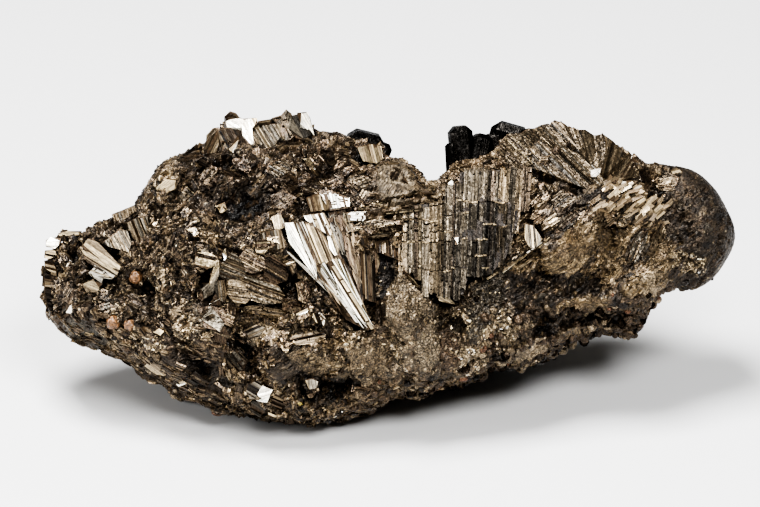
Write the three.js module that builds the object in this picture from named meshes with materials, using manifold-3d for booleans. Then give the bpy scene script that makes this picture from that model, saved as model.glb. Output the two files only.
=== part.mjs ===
// A hand specimen of bladed metallic ore with stout black cassiterite crystals on its crest.
// Millimetres, +Z up. It rests on the flat in the middle of its underside, and the origin is at the height of
// that flat, under the centre of the specimen's box.
// Everything is laid out on the specimen's broad face: u runs along it, v up it and w straight out of it.
// The face leans back, so the part's frame is (u, v, w) turned by the lean.
import * as THREE from "three";
import { mergeVertices } from "three/addons/utils/BufferGeometryUtils.js";
import Module from "manifold-3d";

const wasm = await Module();
wasm.setup();

// ---- Driving dimensions ----
const LEAN = THREE.MathUtils.degToRad(25); // how far the broad face leans back from upright
const HALF_LENGTH = 74.6; // half the rock's length, along u
const FLAT_HEIGHT = -31; // height of the resting flat, measured from the middle of the face
const GAP = 0.3; // clearance between a crystal and its socket in the rock
const STATIONS = 40; // steps along the rock
const RING_STEPS = 27; // steps round a cross-section
const FRONT_SHARE = 0.3; // how much closer those steps lie on the face than on the back
const FACE_POWER = 2.8; // squareness of the front of a cross-section
const BACK_POWER = 2.4; // of its upper back
const FOOT_POWER = 3.4; // of its lower back, which carries the resting flat
const COLUMN_WIDTH = 2.55; // one column of the upright block

// Outlines of the rock, as [u, v] or [u, w] points joined by straight lines.
const CREST = [
  [-75, 1.7], [-74.1, 4.8], [-72.2, 6.5], [-67, 7.8], [-62.6, 10.2], [-58.3, 12.2], [-55, 13.9],
  [-51.7, 18.3], [-48.9, 22.8], [-45.2, 24.6], [-40.9, 26.3], [-35.4, 27.6], [-27.4, 27.4],
  [-19.1, 28.2], [-14.3, 28.9],
  [-9.3, 27.8], [-3.5, 25.7], [0.9, 23.9], [3.7, 22.8], [5.7, 20], [12.4, 20], [14.6, 21.3], [20, 24.3],
  [26.5, 27.8], [32, 29.6], [35.7, 31.1], [38.7, 31.1], [43.9, 28.7], [50, 26.7], [53, 23.9], [55.9, 21.7],
  [61.7, 21.7], [65.7, 20.9], [68.3, 19.6], [71.1, 16.5], [73.5, 12.6], [75, 8.3],
];
const KEEL = [
  [-75, -6.5], [-73.5, -10.4], [-71.3, -12.4], [-67, -15.4], [-61.5, -17], [-56.1, -19.6], [-51.7, -23.3],
  [-45.2, -26.5], [-39.8, -28.9], [-33.3, -30.9], [-27.4, -32.2], [-19.1, -32.8], [-10.4, -32.4],
  [-5.7, -31.7], [-1.7, -29.1], [1.1, -27.2], [7, -27.6], [11.3, -25.4], [17.8, -23.7],
  [24.3, -21.1], [29.1, -20.9],
  [34.1, -19.1], [37.8, -16.3], [43.9, -14.1], [52.6, -13.9], [55, -11.1], [57, -7.4], [59.1, -4.6],
  [65.7, -3.5], [69.6, -2], [72.6, 0.9], [75, 6.5],
];
const FRONT = [
  [-75, 2], [-70, 6], [-60, 11], [-45, 17], [-25, 21], [0, 21], [25, 17], [45, 13], [60, 8], [70, 4], [75, -3],
];
const BACK = [
  [-75, -8], [-65, -17], [-45, -27], [-20, -33], [10, -33], [35, -29], [55, -23], [68, -18], [75, -9],
];
const MIDDLE = [[-75, -3], [0, -4], [75, -6]]; // depth where a section is tallest

// Hollows and swells of the face: place, half sizes along u and v, and height, negative for a hollow.
const RELIEF = [
  // hollows
  { at: [-30.7, 13.5], size: [5, 3.4], height: -6.3 },
  { at: [-52.4, -4.3], size: [2.4, 2.4], height: -4.2 },
  { at: [-69, 2.6], size: [2.6, 3], height: -3.5 },
  { at: [-21.7, -3.3], size: [5, 5.5], height: -5.6 },
  { at: [-30, -17.8], size: [3.2, 5.5], height: -5.6 },
  { at: [-11.5, -25], size: [4.6, 3.4], height: -5.6 },
  { at: [-2.2, -4.3], size: [2.4, 3.6], height: -6.3 },
  { at: [-0.9, 2.6], size: [3.4, 3], height: -4.2 },
  { at: [33, 20.4], size: [2.8, 2.4], height: -4.2 },
  { at: [58, 17.4], size: [3, 3], height: -4.9 },
  { at: [47.2, -11.3], size: [9, 2.6], height: -5.6 },
  { at: [34.1, -12.2], size: [2.4, 2.4], height: -4.2 },
  { at: [-39.8, -21.7], size: [3.8, 2.6], height: -4.9 },
  { at: [-34.3, 22.8], size: [6.5, 2.4], height: -4.2 },
  { at: [37.4, -1.8], size: [12, 2.6], height: -4.2 },
  { at: [18, 9], size: [15, 10], height: -3.6 },
  { at: [39, 23.5], size: [11, 6], height: -3 },
  { at: [-13, 3], size: [8, 11], height: -2.6 },
  // swells
  { at: [4.3, -8.7], size: [3.6, 8], height: 3.9 },
  { at: [8, -16.3], size: [3, 5], height: 3.1 },
  { at: [17, -18.7], size: [3.6, 3.6], height: 3.9 },
  { at: [30.9, -16.3], size: [4.2, 3], height: 3.1 },
  { at: [1.1, 18.5], size: [5, 5], height: 3.9 },
  { at: [54.8, -4.3], size: [4.2, 3], height: 3.1 },
  { at: [38.5, 3.4], size: [11, 3], height: 3.1 },
  { at: [67.8, 10], size: [5, 7], height: 2 },
  { at: [-43, -13], size: [5, 6], height: 3.1 },
  { at: [-19.1, -16.3], size: [6, 4.5], height: 3.9 },
  { at: [-60, -9.5], size: [6, 4], height: 2.6 },
  { at: [-47.4, 7.6], size: [6, 6], height: 2 },
];

// ---- Small helpers ----
const mix = (a, b, t) => a + (b - a) * t;
const clamp = THREE.MathUtils.clamp;
const degrees = THREE.MathUtils.degToRad;

// Height of a [u, height] line at u.
function along(line, u) {
  const i = line.findIndex(([at]) => at >= u);
  if (i === 0) return line[0][1];
  if (i < 0) return line[line.length - 1][1];
  const [u0, y0] = line[i - 1];
  const [u1, y1] = line[i];
  return mix(y0, y1, (u - u0) / (u1 - u0));
}

// A repeatable random number from 0 to 1 for a place.
function hash(i, j = 0, k = 0) {
  const s = Math.sin(i * 127.1 + j * 311.7 + k * 74.7) * 43758.5453;
  return s - Math.floor(s);
}

// Smooth noise from -1 to 1 over space.
function noise(...place) {
  const cell = place.map(Math.floor);
  const [fx, fy, fz] = place.map((c, i) => THREE.MathUtils.smoothstep(c - cell[i], 0, 1));
  const corner = (a, b, c) => hash(cell[0] + a, cell[1] + b, cell[2] + c);
  const edge = (b, c) => mix(corner(0, b, c), corner(1, b, c), fx);
  return 2 * mix(mix(edge(0, 0), edge(1, 0), fy), mix(edge(0, 1), edge(1, 1), fy), fz) - 1;
}

// Broken surface: broad knuckles, and sharper creases between them.
function roughness(u, v, w) {
  const knuckles = 2.2 * noise(u / 9, v / 9, w / 9);
  const creases = 1.7 - 5 * Math.abs(noise(u / 6 + 7, v / 6, w / 6));
  const chips = 1.3 * noise(u / 2.3, v / 2.3 + 5, w / 2.3);
  return knuckles + Math.max(creases, -2.4) + chips;
}

// A closed three.js geometry, placed by a matrix, as a solid.
function solidOf(geometry, matrix = new THREE.Matrix4()) {
  const bare = geometry.clone().applyMatrix4(matrix);
  bare.deleteAttribute("normal");
  bare.deleteAttribute("uv");
  const merged = mergeVertices(bare, 1e-4);
  return new wasm.Manifold(
    new wasm.Mesh({
      numProp: 3,
      vertProperties: merged.attributes.position.array,
      triVerts: new Uint32Array(merged.index.array),
    }),
  );
}

const union = (solids) => solids.reduce((whole, next) => whole.add(next));

// The largest of a solid's separate bodies, for where a cut leaves a loose crumb.
const largest = (solid) => solid.decompose().reduce((a, b) => (b.volume() > a.volume() ? b : a));

// ---- The rock's outer form ----
// The cross-section at u: its centre, and how far it reaches up, down, forward and back.
function section(u) {
  const top = along(CREST, u);
  const bottom = along(KEEL, u);
  const v = mix(bottom, top, 0.48);
  const w = along(MIDDLE, u);
  return { v, w, up: top - v, down: v - bottom, front: along(FRONT, u) - w, back: w - along(BACK, u) };
}

// Height of the hollows and swells at a place, fading out where the face turns away.
function relief(u, v, s) {
  const part = Math.abs(v - s.v) / (v > s.v ? s.up : s.down);
  let height = 0;
  for (const { at, size, height: peak } of RELIEF)
    height += peak * Math.exp(-(((u - at[0]) / size[0]) ** 2) - ((v - at[1]) / size[1]) ** 2);
  return height * clamp(3 * (1 - part), 0, 1);
}

// Depth of the face at a place on it, which crystals are seated by.
function faceDepth(u, v) {
  const s = section(u);
  const part = clamp(Math.abs(v - s.v) / (v > s.v ? s.up : s.down), 0, 1);
  return s.w + s.front * (1 - part ** FACE_POWER) ** (1 / FACE_POWER) + relief(u, v, s);
}

function sectionPoint(u, s, angle) {
  const c = Math.cos(angle);
  const si = Math.sin(angle);
  const power = c >= 0 ? FACE_POWER : si >= 0 ? BACK_POWER : FOOT_POWER;
  const rise = Math.sign(si) * Math.abs(si) ** (2 / power);
  const out = Math.sign(c) * Math.abs(c) ** (2 / power);
  const v = s.v + rise * (si >= 0 ? s.up : s.down);
  const w = s.w + out * (c >= 0 ? s.front + relief(u, v, s) : s.back);
  const rough = roughness(u, v, w) * Math.min(1, s.up / 12);
  const drift = 1.2 * noise(v / 3, w / 3, u / 3) * (1 - Math.abs(u) / HALF_LENGTH);
  return [u + drift, v + rough * si * 0.45, w + rough * c];
}

// A cylinder lying along u whose every vertex is moved out to the cross-section at its place.
function rockForm() {
  const form = new THREE.CylinderGeometry(1, 1, 2 * HALF_LENGTH, RING_STEPS, STATIONS).rotateZ(-Math.PI / 2);
  const p = form.attributes.position;
  for (let i = 0; i < p.count; i++) {
    const u = p.getX(i);
    const s = section(u);
    const onAxis = Math.hypot(p.getY(i), p.getZ(i)) < 0.5;
    const angle = Math.atan2(p.getY(i), p.getZ(i));
    if (onAxis) p.setXYZ(i, u + 0.4 * Math.sign(u), s.v, s.w + (s.front - s.back) / 2);
    else p.setXYZ(i, ...sectionPoint(u, s, angle - FRONT_SHARE * Math.sin(angle)));
  }
  return solidOf(form);
}

// ---- Crystals ----
// A crystal's solid, and the slightly larger solid that its socket is cut with.
// form(grown) makes it with every side moved out by grown.
const crystalOf = (form) => ({ solid: form(0), socket: form(GAP) });
const joined = (crystals) => ({
  solid: union(crystals.map((c) => c.solid)),
  socket: union(crystals.map((c) => c.socket)),
});

// A flat blade from its root to its tip, each given as [u, v] on the face or as [u, v, w].
// lift raises the two ends off the face, slant cuts the tip obliquely and turn rolls it about its length.
function blade({ root, tip, width, thick, lift = [0, 0], slant = 0, turn = 0 }) {
  const place = ([u, v, w], raised) => new THREE.Vector3(u, v, w ?? faceDepth(u, v) + raised);
  const start = place(root, lift[0]);
  const end = place(tip, lift[1]);
  const y = end.clone().sub(start);
  const length = y.length();
  y.normalize();
  const out = new THREE.Vector3(0, 0, 1).applyAxisAngle(y, degrees(turn));
  const x = new THREE.Vector3().crossVectors(y, out).normalize();
  const z = new THREE.Vector3().crossVectors(x, y);
  const frame = new THREE.Matrix4().makeBasis(x, y, z).setPosition(start.clone().lerp(end, 0.5));
  return crystalOf((grown) => {
    const g = new THREE.BoxGeometry(width + 2 * grown, length + 2 * grown, thick + 2 * grown);
    const p = g.attributes.position;
    for (let i = 0; i < p.count; i++) {
      if (p.getY(i) > 0) p.setY(i, p.getY(i) - slant * (p.getX(i) + width / 2 + grown));
    }
    return solidOf(g, frame);
  });
}

// A stout prism that ends in a blunt pyramid at each end, as cassiterite grows.
function prismCrystal({ at, radius, prism, point, turn, lean = 0, sides = 8 }) {
  const rotation = new THREE.Euler(degrees(lean), degrees(20), degrees(turn));
  const frame = new THREE.Matrix4().makeRotationFromEuler(rotation).setPosition(...at);
  return crystalOf((grown) => {
    const r = radius + grown;
    const half = prism / 2 + grown;
    const blunt = 0.42 * r;
    const profile = [
      [0, -half - point], [blunt, -half - point], [r, -half],
      [r, half], [blunt, half + point], [0, half + point],
    ].map(([x, y]) => new THREE.Vector2(x, y));
    return solidOf(new THREE.LatheGeometry(profile, sides), frame);
  });
}

// The bright spray of long blades at the middle of the face, opening up and to the left from its foot.
function bladeFan() {
  const foot = [-4.6, -11.6];
  const blades = [
    { tip: [-22, 10], width: 3.4, thick: 3, lift: 2.2, slant: 0.4 },
    { tip: [-21.6, 4], width: 1.2, thick: 2.6, lift: 1 },
    { tip: [-19, 10.6], width: 2.6, thick: 3, lift: 1.8, slant: -0.3 },
    { tip: [-16.4, 13.6], width: 2.8, thick: 3, lift: 2.4, slant: 0.3 },
    { tip: [-14, 17], width: 3, thick: 3, lift: 1.6, slant: -0.2 },
    { tip: [-11, 17.2], width: 3.2, thick: 3, lift: 2, slant: 0.2 },
    { tip: [-8.4, 14.6], width: 3, thick: 2.8, lift: 1.2, slant: -0.4 },
    { tip: [-12.6, 2], width: 5, thick: 3.2, lift: 3, slant: 0.3 },
    { tip: [-8.8, 3], width: 3.6, thick: 3.2, lift: 2.8, slant: -0.4 },
  ];
  return joined(
    blades.map(({ lift, ...shape }, i) => {
      const root = [foot[0] + 0.6 * hash(i), foot[1] + 1.6 * hash(i, 3)];
      return blade({ root, lift: [-0.4, lift - 0.6], ...shape });
    }),
  );
}

// The block of upright columns right of the middle: each column is broken into steps, one behind the other.
function columnBlock() {
  const tops = [
    [2, 14], [10, 14.6], [11, 16.4], [15.3, 17.2], [15.4, 21], [17, 22.6], [30.2, 22.6], [30.4, 10], [33.4, 10],
  ];
  const feet = [[2, 4], [6, -3], [10, -7.4], [15, -6.4], [20, -2], [26, 1.6], [33.4, 5]];
  const left = 2.6;
  const right = 33.2;
  const steps = 2;
  const count = Math.round((right - left) / COLUMN_WIDTH);
  const pieces = [];
  for (let i = 0; i < count; i++) {
    const u = left + (i + 0.5) * COLUMN_WIDTH;
    const top = along(tops, u) - 1.2 * hash(i, 1);
    const foot = along(feet, u) + 1.2 * hash(i, 2);
    const lean = 0.03 * (u - 16);
    for (let k = 0; k < steps; k++) {
      const low = mix(foot, top, (k + (k && 0.5 * hash(i, k, 1) - 0.25)) / steps) - 0.5;
      const high = k === steps - 1 ? top : mix(foot, top, (k + 1.15) / steps);
      pieces.push(
        blade({
          root: [u - lean, low],
          tip: [u, high],
          width: COLUMN_WIDTH + 0.3,
          thick: 5,
          lift: [-0.5 + 1.3 * hash(i, k, 2), -0.3 + 1.1 * hash(i, k, 3) - 0.4 * k],
        }),
      );
    }
  }
  return joined(pieces);
}

// The sheaf of thin plates at the upper right, opening upwards from its hub.
function plateSheaf() {
  const hub = [44.4, 17];
  const count = 10;
  const plates = [];
  for (let i = 0; i < count; i++) {
    const share = i / (count - 1);
    const angle = degrees(mix(150, 62, share));
    const direction = [Math.cos(angle), Math.sin(angle)];
    const reach = mix(21, 9.5, share ** 0.8);
    const roof = along(CREST, hub[0] + reach * direction[0]) + 0.2;
    const length = Math.min(reach, (roof - hub[1]) / direction[1]);
    plates.push(
      blade({
        root: [hub[0] + 1.2 * direction[0], hub[1] + 1.2 * direction[1]],
        tip: [hub[0] + length * direction[0], hub[1] + length * direction[1], 1.5 + 1.6 * hash(i, 9)],
        width: 2.3,
        thick: 5.5,
        lift: [-0.9, 0],
        turn: 10 * (hash(i, 8) - 0.5),
        slant: 0.5 * (hash(i, 11) - 0.5),
      }),
    );
  }
  return joined(plates);
}

// The bright tabular crystals along the upper left crest.
function crestCrystals() {
  const first = [-17, 26];
  const count = 8;
  const rise = [7, 7.6, 7, 7.3, 8.6, 9.2, 7.4, 4];
  const plates = [];
  for (let i = 0; i < count; i++) {
    const u = first[0] - i * 3;
    const v = first[1] - 0.36 * i;
    plates.push(
      blade({
        root: [u, v, 1.5],
        tip: [u - 2.4, v + rise[i], -4 + 2 * hash(i, 50)],
        width: 3.5,
        thick: 6,
        slant: i % 2 ? 0.35 : -0.3,
        turn: 12 * (hash(i, 51) - 0.5),
      }),
    );
  }
  return joined(plates);
}

// The dark striated book of blades at the lower left of the face, with bright plates on its edge.
function bladeBook() {
  const leaves = [];
  const count = 6;
  for (let i = 0; i < count; i++) {
    const drop = i * 2;
    leaves.push(
      blade({
        root: [-24.4 + 0.3 * drop, 0.6 - drop],
        tip: [-36.4 + 0.3 * drop + hash(i, 12), 4.2 - drop],
        width: 2.3,
        thick: 4,
        lift: [0, 0.3 + 0.7 * hash(i, 13)],
        slant: 0.3 * (hash(i, 14) - 0.5),
      }),
    );
  }
  const edges = [
    { root: [-40.6, -6.4], tip: [-35.6, 3], width: 2.6, thick: 3.6, lift: [0, 0.2], slant: 0.4 },
    { root: [-38, -7.4], tip: [-34.4, -0.8], width: 2.2, thick: 3.8, lift: [0.2, 0.4], slant: -0.4 },
  ];
  return joined([...leaves, ...edges.map(blade)]);
}

// Bright plates low on the left end of the face, stacked like shingles.
function leftPlates() {
  return joined([
    blade({ root: [-57.6, 1], tip: [-65.6, 5], width: 4.4, thick: 3.4, lift: [-0.4, 0.3], slant: 0.3 }),
    blade({ root: [-58.2, -1.6], tip: [-64.6, 1.6], width: 3, thick: 3.6, lift: [0, 0.7], slant: -0.3 }),
    blade({ root: [-61, -3.6], tip: [-66, -1.8], width: 3, thick: 3.2, lift: [-0.2, 0.4], slant: 0.3 }),
  ]);
}

// A row of striated plates standing on the left shoulder.
function leftStriatedPlates() {
  const plates = [];
  for (let i = 0; i < 5; i++) {
    const u = -58.2 + i * 2;
    const v = 3 + i * 1.55;
    const depth = faceDepth(u, v);
    plates.push(
      blade({
        root: [u, v, depth - 0.6],
        tip: [u - 2.8, v + 5 + 0.8 * hash(i, 21), depth - 3.6 + 0.8 * hash(i, 20)],
        width: 3.2,
        thick: 4,
        slant: 0.4 * (hash(i, 22) - 0.5),
      }),
    );
  }
  return joined(plates);
}

// The stack of stepped plates that caps the left end.
function endCrystal() {
  const plates = [];
  for (let i = 0; i < 5; i++) {
    const v = 5 - i * 3;
    plates.push(
      blade({
        root: [-69.5, v - 0.4, -1.6],
        tip: [-75 + 0.8 * hash(i, 31), v + 0.4, -2.4 + hash(i, 32)],
        width: 3.3,
        thick: 9.5 + 1.5 * hash(i, 33),
        slant: 0.2 * (hash(i, 34) - 0.5),
      }),
    );
  }
  return joined(plates);
}

// The stout black crystals that stand on the crest.
const blackCrystals = {
  cassiterite_left: [
    { at: [-6, 26.2, -5.4], radius: 4.4, prism: 4, point: 1.6, turn: 78, lean: 10 },
    { at: [-2.6, 25.6, -4], radius: 3, prism: 3, point: 1.2, turn: 40 },
  ],
  cassiterite_middle: [
    { at: [17, 25.4, -5.4], radius: 3.4, prism: 8.2, point: 1.8, turn: 10, lean: 8 },
    { at: [20.8, 26.2, -6], radius: 2.8, prism: 4.6, point: 1.8, turn: -24 },
  ],
  cassiterite_right: [
    { at: [26, 28, -7.6], radius: 3.8, prism: 4.4, point: 1.6, turn: 66, lean: -8 },
    { at: [29, 27.8, -7], radius: 3.1, prism: 2.8, point: 1.3, turn: 24 },
  ],
};

// Brown spherules sunk into the face.
const spherules = {
  spherule_upper: { at: [-54.4, -1.5], radius: 1.45 },
  spherule_lower_left: { at: [-59.3, -11.3], radius: 1.5 },
  spherule_lower_right: { at: [-55.6, -11.8], radius: 1.3 },
};

function spherule({ at, radius }) {
  const frame = new THREE.Matrix4().setPosition(at[0], at[1], faceDepth(...at) + 0.3 * radius);
  return crystalOf((grown) => solidOf(new THREE.DodecahedronGeometry(radius + 1.3 * grown), frame));
}

// ---- Small growths, fused to the rock ----
// The field of short bright plates below the sheaf, all leaning up to the right.
function plateField() {
  const plates = [];
  for (let row = 0; row < 3; row++)
    for (let k = 0; k < 4; k++) {
      const u = 44 + k * 3.7 + row;
      const v = 11.4 + row * 2.4 + 0.6 * hash(row, k, 2);
      plates.push(
        blade({
          root: [u - 1.8, v - 1],
          tip: [u + 1.8, v + 0.9],
          width: 1.5,
          thick: 3,
          lift: [0.1, 0.5 + 0.6 * hash(row, k, 5)],
        }).solid,
      );
    }
  return plates;
}

// Faceted knobs along the underside of the right half.
function undersideKnobs() {
  const knobs = [];
  for (let i = 0; i < 14; i++) {
    const u = 2 + i * 4 + 1.2 * hash(i, 40);
    const v = along(KEEL, u) + 2.2 + 0.7 * hash(i, 41);
    const depth = section(u).w + 3 * (hash(i, 43) - 0.2);
    const frame = new THREE.Matrix4().makeRotationFromEuler(new THREE.Euler(i, 2 * i, 3 * i));
    knobs.push(solidOf(new THREE.IcosahedronGeometry(2 + 0.9 * hash(i, 42)), frame.setPosition(u, v, depth)));
  }
  return knobs;
}

// Single block crystals of the face.
function faceBlocks() {
  const blocks = [
    { root: [-25.2, -27.4], tip: [-29.6, -24.6], width: 3.2, thick: 4, lift: [0, 1] },
    { root: [-23, -29.6], tip: [-26.6, -27.2], width: 2.8, thick: 4, lift: [0, 0.8] },
    { root: [-16.2, -26], tip: [-17.4, -23.2], width: 2.4, thick: 4, lift: [0.4, 0.9] },
    { root: [-41.6, 0], tip: [-37.2, 3.6], width: 3.6, thick: 4, lift: [0, 0.5] },
    { root: [-15, -9.4], tip: [-23, -11], width: 1.3, thick: 4, lift: [0.3, 0.6] },
    { root: [-14.2, -12.4], tip: [-16, -9.2], width: 2.6, thick: 4, lift: [0.2, 0.6] },
    { root: [-49.6, 15], tip: [-47, 20.4], width: 3, thick: 4, lift: [0, 0.4] },
    { root: [-15.2, 22], tip: [-14.2, 25.4], width: 2.6, thick: 4, lift: [0, 0.6] },
    { root: [-2.6, 21, 4], tip: [-3.8, 27, 0], width: 5, thick: 4, slant: 0.2 },
    { root: [-39, -12.6], tip: [-40.6, -8.6], width: 4.6, thick: 4, lift: [0.2, 0.4] },
  ];
  return blocks.map((b) => blade(b).solid);
}

// Everything below the resting flat.
function belowFlat() {
  const size = 400;
  const turned = new THREE.Matrix4().makeRotationX(LEAN - Math.PI / 2);
  const lowered = new THREE.Matrix4().makeTranslation(0, 0, FLAT_HEIGHT - size / 2);
  return solidOf(new THREE.BoxGeometry(size, size, size), turned.multiply(lowered));
}

// ---- The part ----
function finish(color, roughness, metalness) {
  return new THREE.MeshStandardMaterial({ color, roughness, metalness });
}
const ROCK = finish(0x5a4c3e, 0.55, 0.5);
const BRIGHT = finish(0xd8cfc0, 0.3, 0.85);
const GREY = finish(0x77706a, 0.35, 0.8);
const BRONZE = finish(0x6b5a48, 0.4, 0.7);
const BLACK = finish(0x0d0b0a, 0.2, 0.1);
const BROWN = finish(0x8a5a36, 0.6, 0);

const crystals = {
  blade_fan: [bladeFan(), BRIGHT],
  column_block: [columnBlock(), GREY],
  plate_sheaf: [plateSheaf(), BRONZE],
  crest_crystals: [crestCrystals(), BRIGHT],
  blade_book: [bladeBook(), BRONZE],
  left_plates: [leftPlates(), BRIGHT],
  left_striated_plates: [leftStriatedPlates(), GREY],
  end_crystal: [endCrystal(), BRIGHT],
};
for (const [name, prisms] of Object.entries(blackCrystals))
  crystals[name] = [joined(prisms.map(prismCrystal)), BLACK];
for (const [name, ball] of Object.entries(spherules)) crystals[name] = [spherule(ball), BROWN];

// Each crystal keeps its gap to the ones before it, and the rock keeps it to them all.
const floorCut = belowFlat();
const solids = {};
let sockets = null;
for (const [name, [crystal, material]] of Object.entries(crystals)) {
  const clear = sockets ? crystal.solid.subtract(sockets) : crystal.solid;
  solids[name] = [largest(clear.subtract(floorCut)), material];
  sockets = sockets ? sockets.add(crystal.socket) : crystal.socket;
}
const grown = union([rockForm(), ...plateField(), ...undersideKnobs(), ...faceBlocks()]);
solids.rock = [largest(grown.subtract(sockets).subtract(floorCut)), ROCK];

function meshOf(name, solid, material) {
  const { vertProperties, triVerts, numProp } = solid.getMesh();
  const positions = [];
  for (const vertex of triVerts) {
    const start = vertex * numProp;
    positions.push(...vertProperties.subarray(start, start + 3));
  }
  const geometry = new THREE.BufferGeometry();
  geometry.setAttribute("position", new THREE.Float32BufferAttribute(positions, 3));
  geometry.computeVertexNormals();
  const mesh = new THREE.Mesh(geometry, material);
  mesh.name = name;
  return mesh;
}

const leaning = new THREE.Group();
leaning.rotation.x = Math.PI / 2 - LEAN;
for (const [name, [solid, material]] of Object.entries(solids)) leaning.add(meshOf(name, solid, material));

const specimen = new THREE.Group();
specimen.add(leaning);
specimen.updateMatrixWorld(true);
const centre = new THREE.Box3().setFromObject(specimen, true).getCenter(new THREE.Vector3());
leaning.position.set(-centre.x, -centre.y, -FLAT_HEIGHT);

export default specimen;
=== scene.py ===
# A cassiterite specimen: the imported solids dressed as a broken, glittering mass of bladed ore.
# Lengths are in millimetres until a mesh is made. Places on the specimen's broad face are (u, v): u runs
# along it, v up it, and w straight out of it.
import math
from typing import NamedTuple

import bmesh
import bpy
import numpy as np
from mathutils import Euler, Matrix, Vector, kdtree, noise
from mathutils.bvhtree import BVHTree

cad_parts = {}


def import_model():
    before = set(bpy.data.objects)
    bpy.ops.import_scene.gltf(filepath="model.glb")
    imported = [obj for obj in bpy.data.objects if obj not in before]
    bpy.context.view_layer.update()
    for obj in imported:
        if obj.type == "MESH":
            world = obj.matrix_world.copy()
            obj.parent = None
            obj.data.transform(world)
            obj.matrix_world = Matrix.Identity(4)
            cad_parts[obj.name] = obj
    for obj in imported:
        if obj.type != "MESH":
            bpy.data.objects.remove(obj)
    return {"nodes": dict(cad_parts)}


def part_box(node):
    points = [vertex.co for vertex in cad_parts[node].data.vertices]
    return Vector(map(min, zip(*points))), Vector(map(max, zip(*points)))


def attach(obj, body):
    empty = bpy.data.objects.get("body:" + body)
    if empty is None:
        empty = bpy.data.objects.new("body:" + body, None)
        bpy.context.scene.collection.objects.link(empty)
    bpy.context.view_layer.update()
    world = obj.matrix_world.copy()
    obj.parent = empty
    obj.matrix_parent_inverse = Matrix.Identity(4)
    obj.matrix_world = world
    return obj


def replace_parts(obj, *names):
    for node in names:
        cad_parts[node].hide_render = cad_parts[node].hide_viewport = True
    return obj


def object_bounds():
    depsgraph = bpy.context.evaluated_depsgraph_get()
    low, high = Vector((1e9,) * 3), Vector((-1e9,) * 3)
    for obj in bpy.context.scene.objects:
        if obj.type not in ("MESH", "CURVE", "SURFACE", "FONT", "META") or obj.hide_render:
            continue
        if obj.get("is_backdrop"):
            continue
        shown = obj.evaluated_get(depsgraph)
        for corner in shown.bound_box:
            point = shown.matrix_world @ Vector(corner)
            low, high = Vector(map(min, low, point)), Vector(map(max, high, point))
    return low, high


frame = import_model()
CAD_BOX = [list(corner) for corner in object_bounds()]

# ---- Driving dimensions ----
MM = 0.001
LEAN = math.radians(25)  # how far the broad face leans back from upright
FACE_ORIGIN = np.array([0.29, -3.14, 31.0])  # the middle of the face, in the row frame
FACE_AXES = np.array([
    [1, 0, 0], [0, math.sin(LEAN), math.cos(LEAN)], [0, -math.cos(LEAN), math.sin(LEAN)],
])
OUT = Vector(FACE_AXES[2])
ROCK_STEP = 0.4  # size of the rock's finest facets
PROUD = 1.0  # most that the finish may stand out of the solids' box
FLOOR_GAP = 0.02
FACE_BACK = -25  # deeper than this nothing belongs to the face
FRONTAL = 0.15  # what belongs to the face has a normal with at least this share out of it
LOBE_START = 54.0  # the smooth lobe at the right end: where it begins
LOBE_BLEND = 6.0  # how far on it is fully smooth
LOBE_ROUNDS = 60  # how often it is smoothed
LOBE_PROUD = 0.2  # how far it is then let out again
LOBE_BACK = -16  # how deep its look reaches

BOX_LOW = np.array(CAD_BOX[0]) / MM - [PROUD, PROUD, 0]
BOX_HIGH = np.array(CAD_BOX[1]) / MM + PROUD


def row(points):
    """Face coordinates to the row frame."""
    return FACE_ORIGIN + np.asarray(points, float) @ FACE_AXES


def face(points):
    """Row frame to face coordinates."""
    return (np.asarray(points, float) - FACE_ORIGIN) @ FACE_AXES.T


def resized(outline, factor):
    """An outline spread or drawn in about its middle."""
    middle = outline.mean(axis=0)
    return middle + (outline - middle) * factor


def on_face(degrees):
    """A direction on the face, in the row frame: 0 is along it and 90 is up it."""
    turn = math.radians(degrees)
    return np.array([math.cos(turn), math.sin(turn), 0]) @ FACE_AXES


# ---- The solids, for seating things on ----
def arrays_of(mesh):
    """A mesh's vertices in mm and its triangles."""
    mesh.calc_loop_triangles()
    verts = np.empty(len(mesh.vertices) * 3, np.float32)
    mesh.vertices.foreach_get("co", verts)
    tris = np.empty(len(mesh.loop_triangles) * 3, np.int32)
    mesh.loop_triangles.foreach_get("vertices", tris)
    return verts.reshape(-1, 3).astype(float) / MM, tris.reshape(-1, 3)


def tree_of(names):
    """A tree of some nodes' triangles, for finding where a ray meets them."""
    verts, tris, total = [], [], 0
    for name in names:
        v, t = arrays_of(frame["nodes"][name].data)
        verts.append(v)
        tris.append(t + total)
        total += len(v)
    return BVHTree.FromPolygons(np.concatenate(verts).tolist(), np.concatenate(tris).tolist())


TREES = {"all": tree_of(list(frame["nodes"]))}
for node in frame["nodes"]:
    TREES[node] = tree_of([node])


def depth(u, v, tree="all"):
    """How far out the solids reach at a place on the face, or None past their outline."""
    hit = TREES[tree].ray_cast(Vector(row([u, v, 80.0])), -OUT)[0]
    return None if hit is None else float(face(hit)[2])


def within(places, outline):
    """Which face places lie inside an outline."""
    found = np.zeros(len(places), bool)
    u, v = places[:, 0], places[:, 1]
    for (u0, v0), (u1, v1) in zip(outline, np.roll(outline, -1, axis=0)):
        if v0 != v1:
            crossed = ((v0 <= v) != (v1 <= v)) & (u < u0 + (u1 - u0) * (v - v0) / (v1 - v0))
            found ^= crossed
    return found


# ---- Gathering crystals into meshes ----
BOX_FACES = np.array([[0, 3, 2, 1], [4, 5, 6, 7], [0, 1, 5, 4], [1, 2, 6, 5], [2, 3, 7, 6], [3, 0, 4, 7]])
BOX_CORNERS = 0.5 * np.array(
    [[-1, -1, -1], [1, -1, -1], [1, 1, -1], [-1, 1, -1], [-1, -1, 1], [1, -1, 1], [1, 1, 1], [-1, 1, 1]]
)


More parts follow.
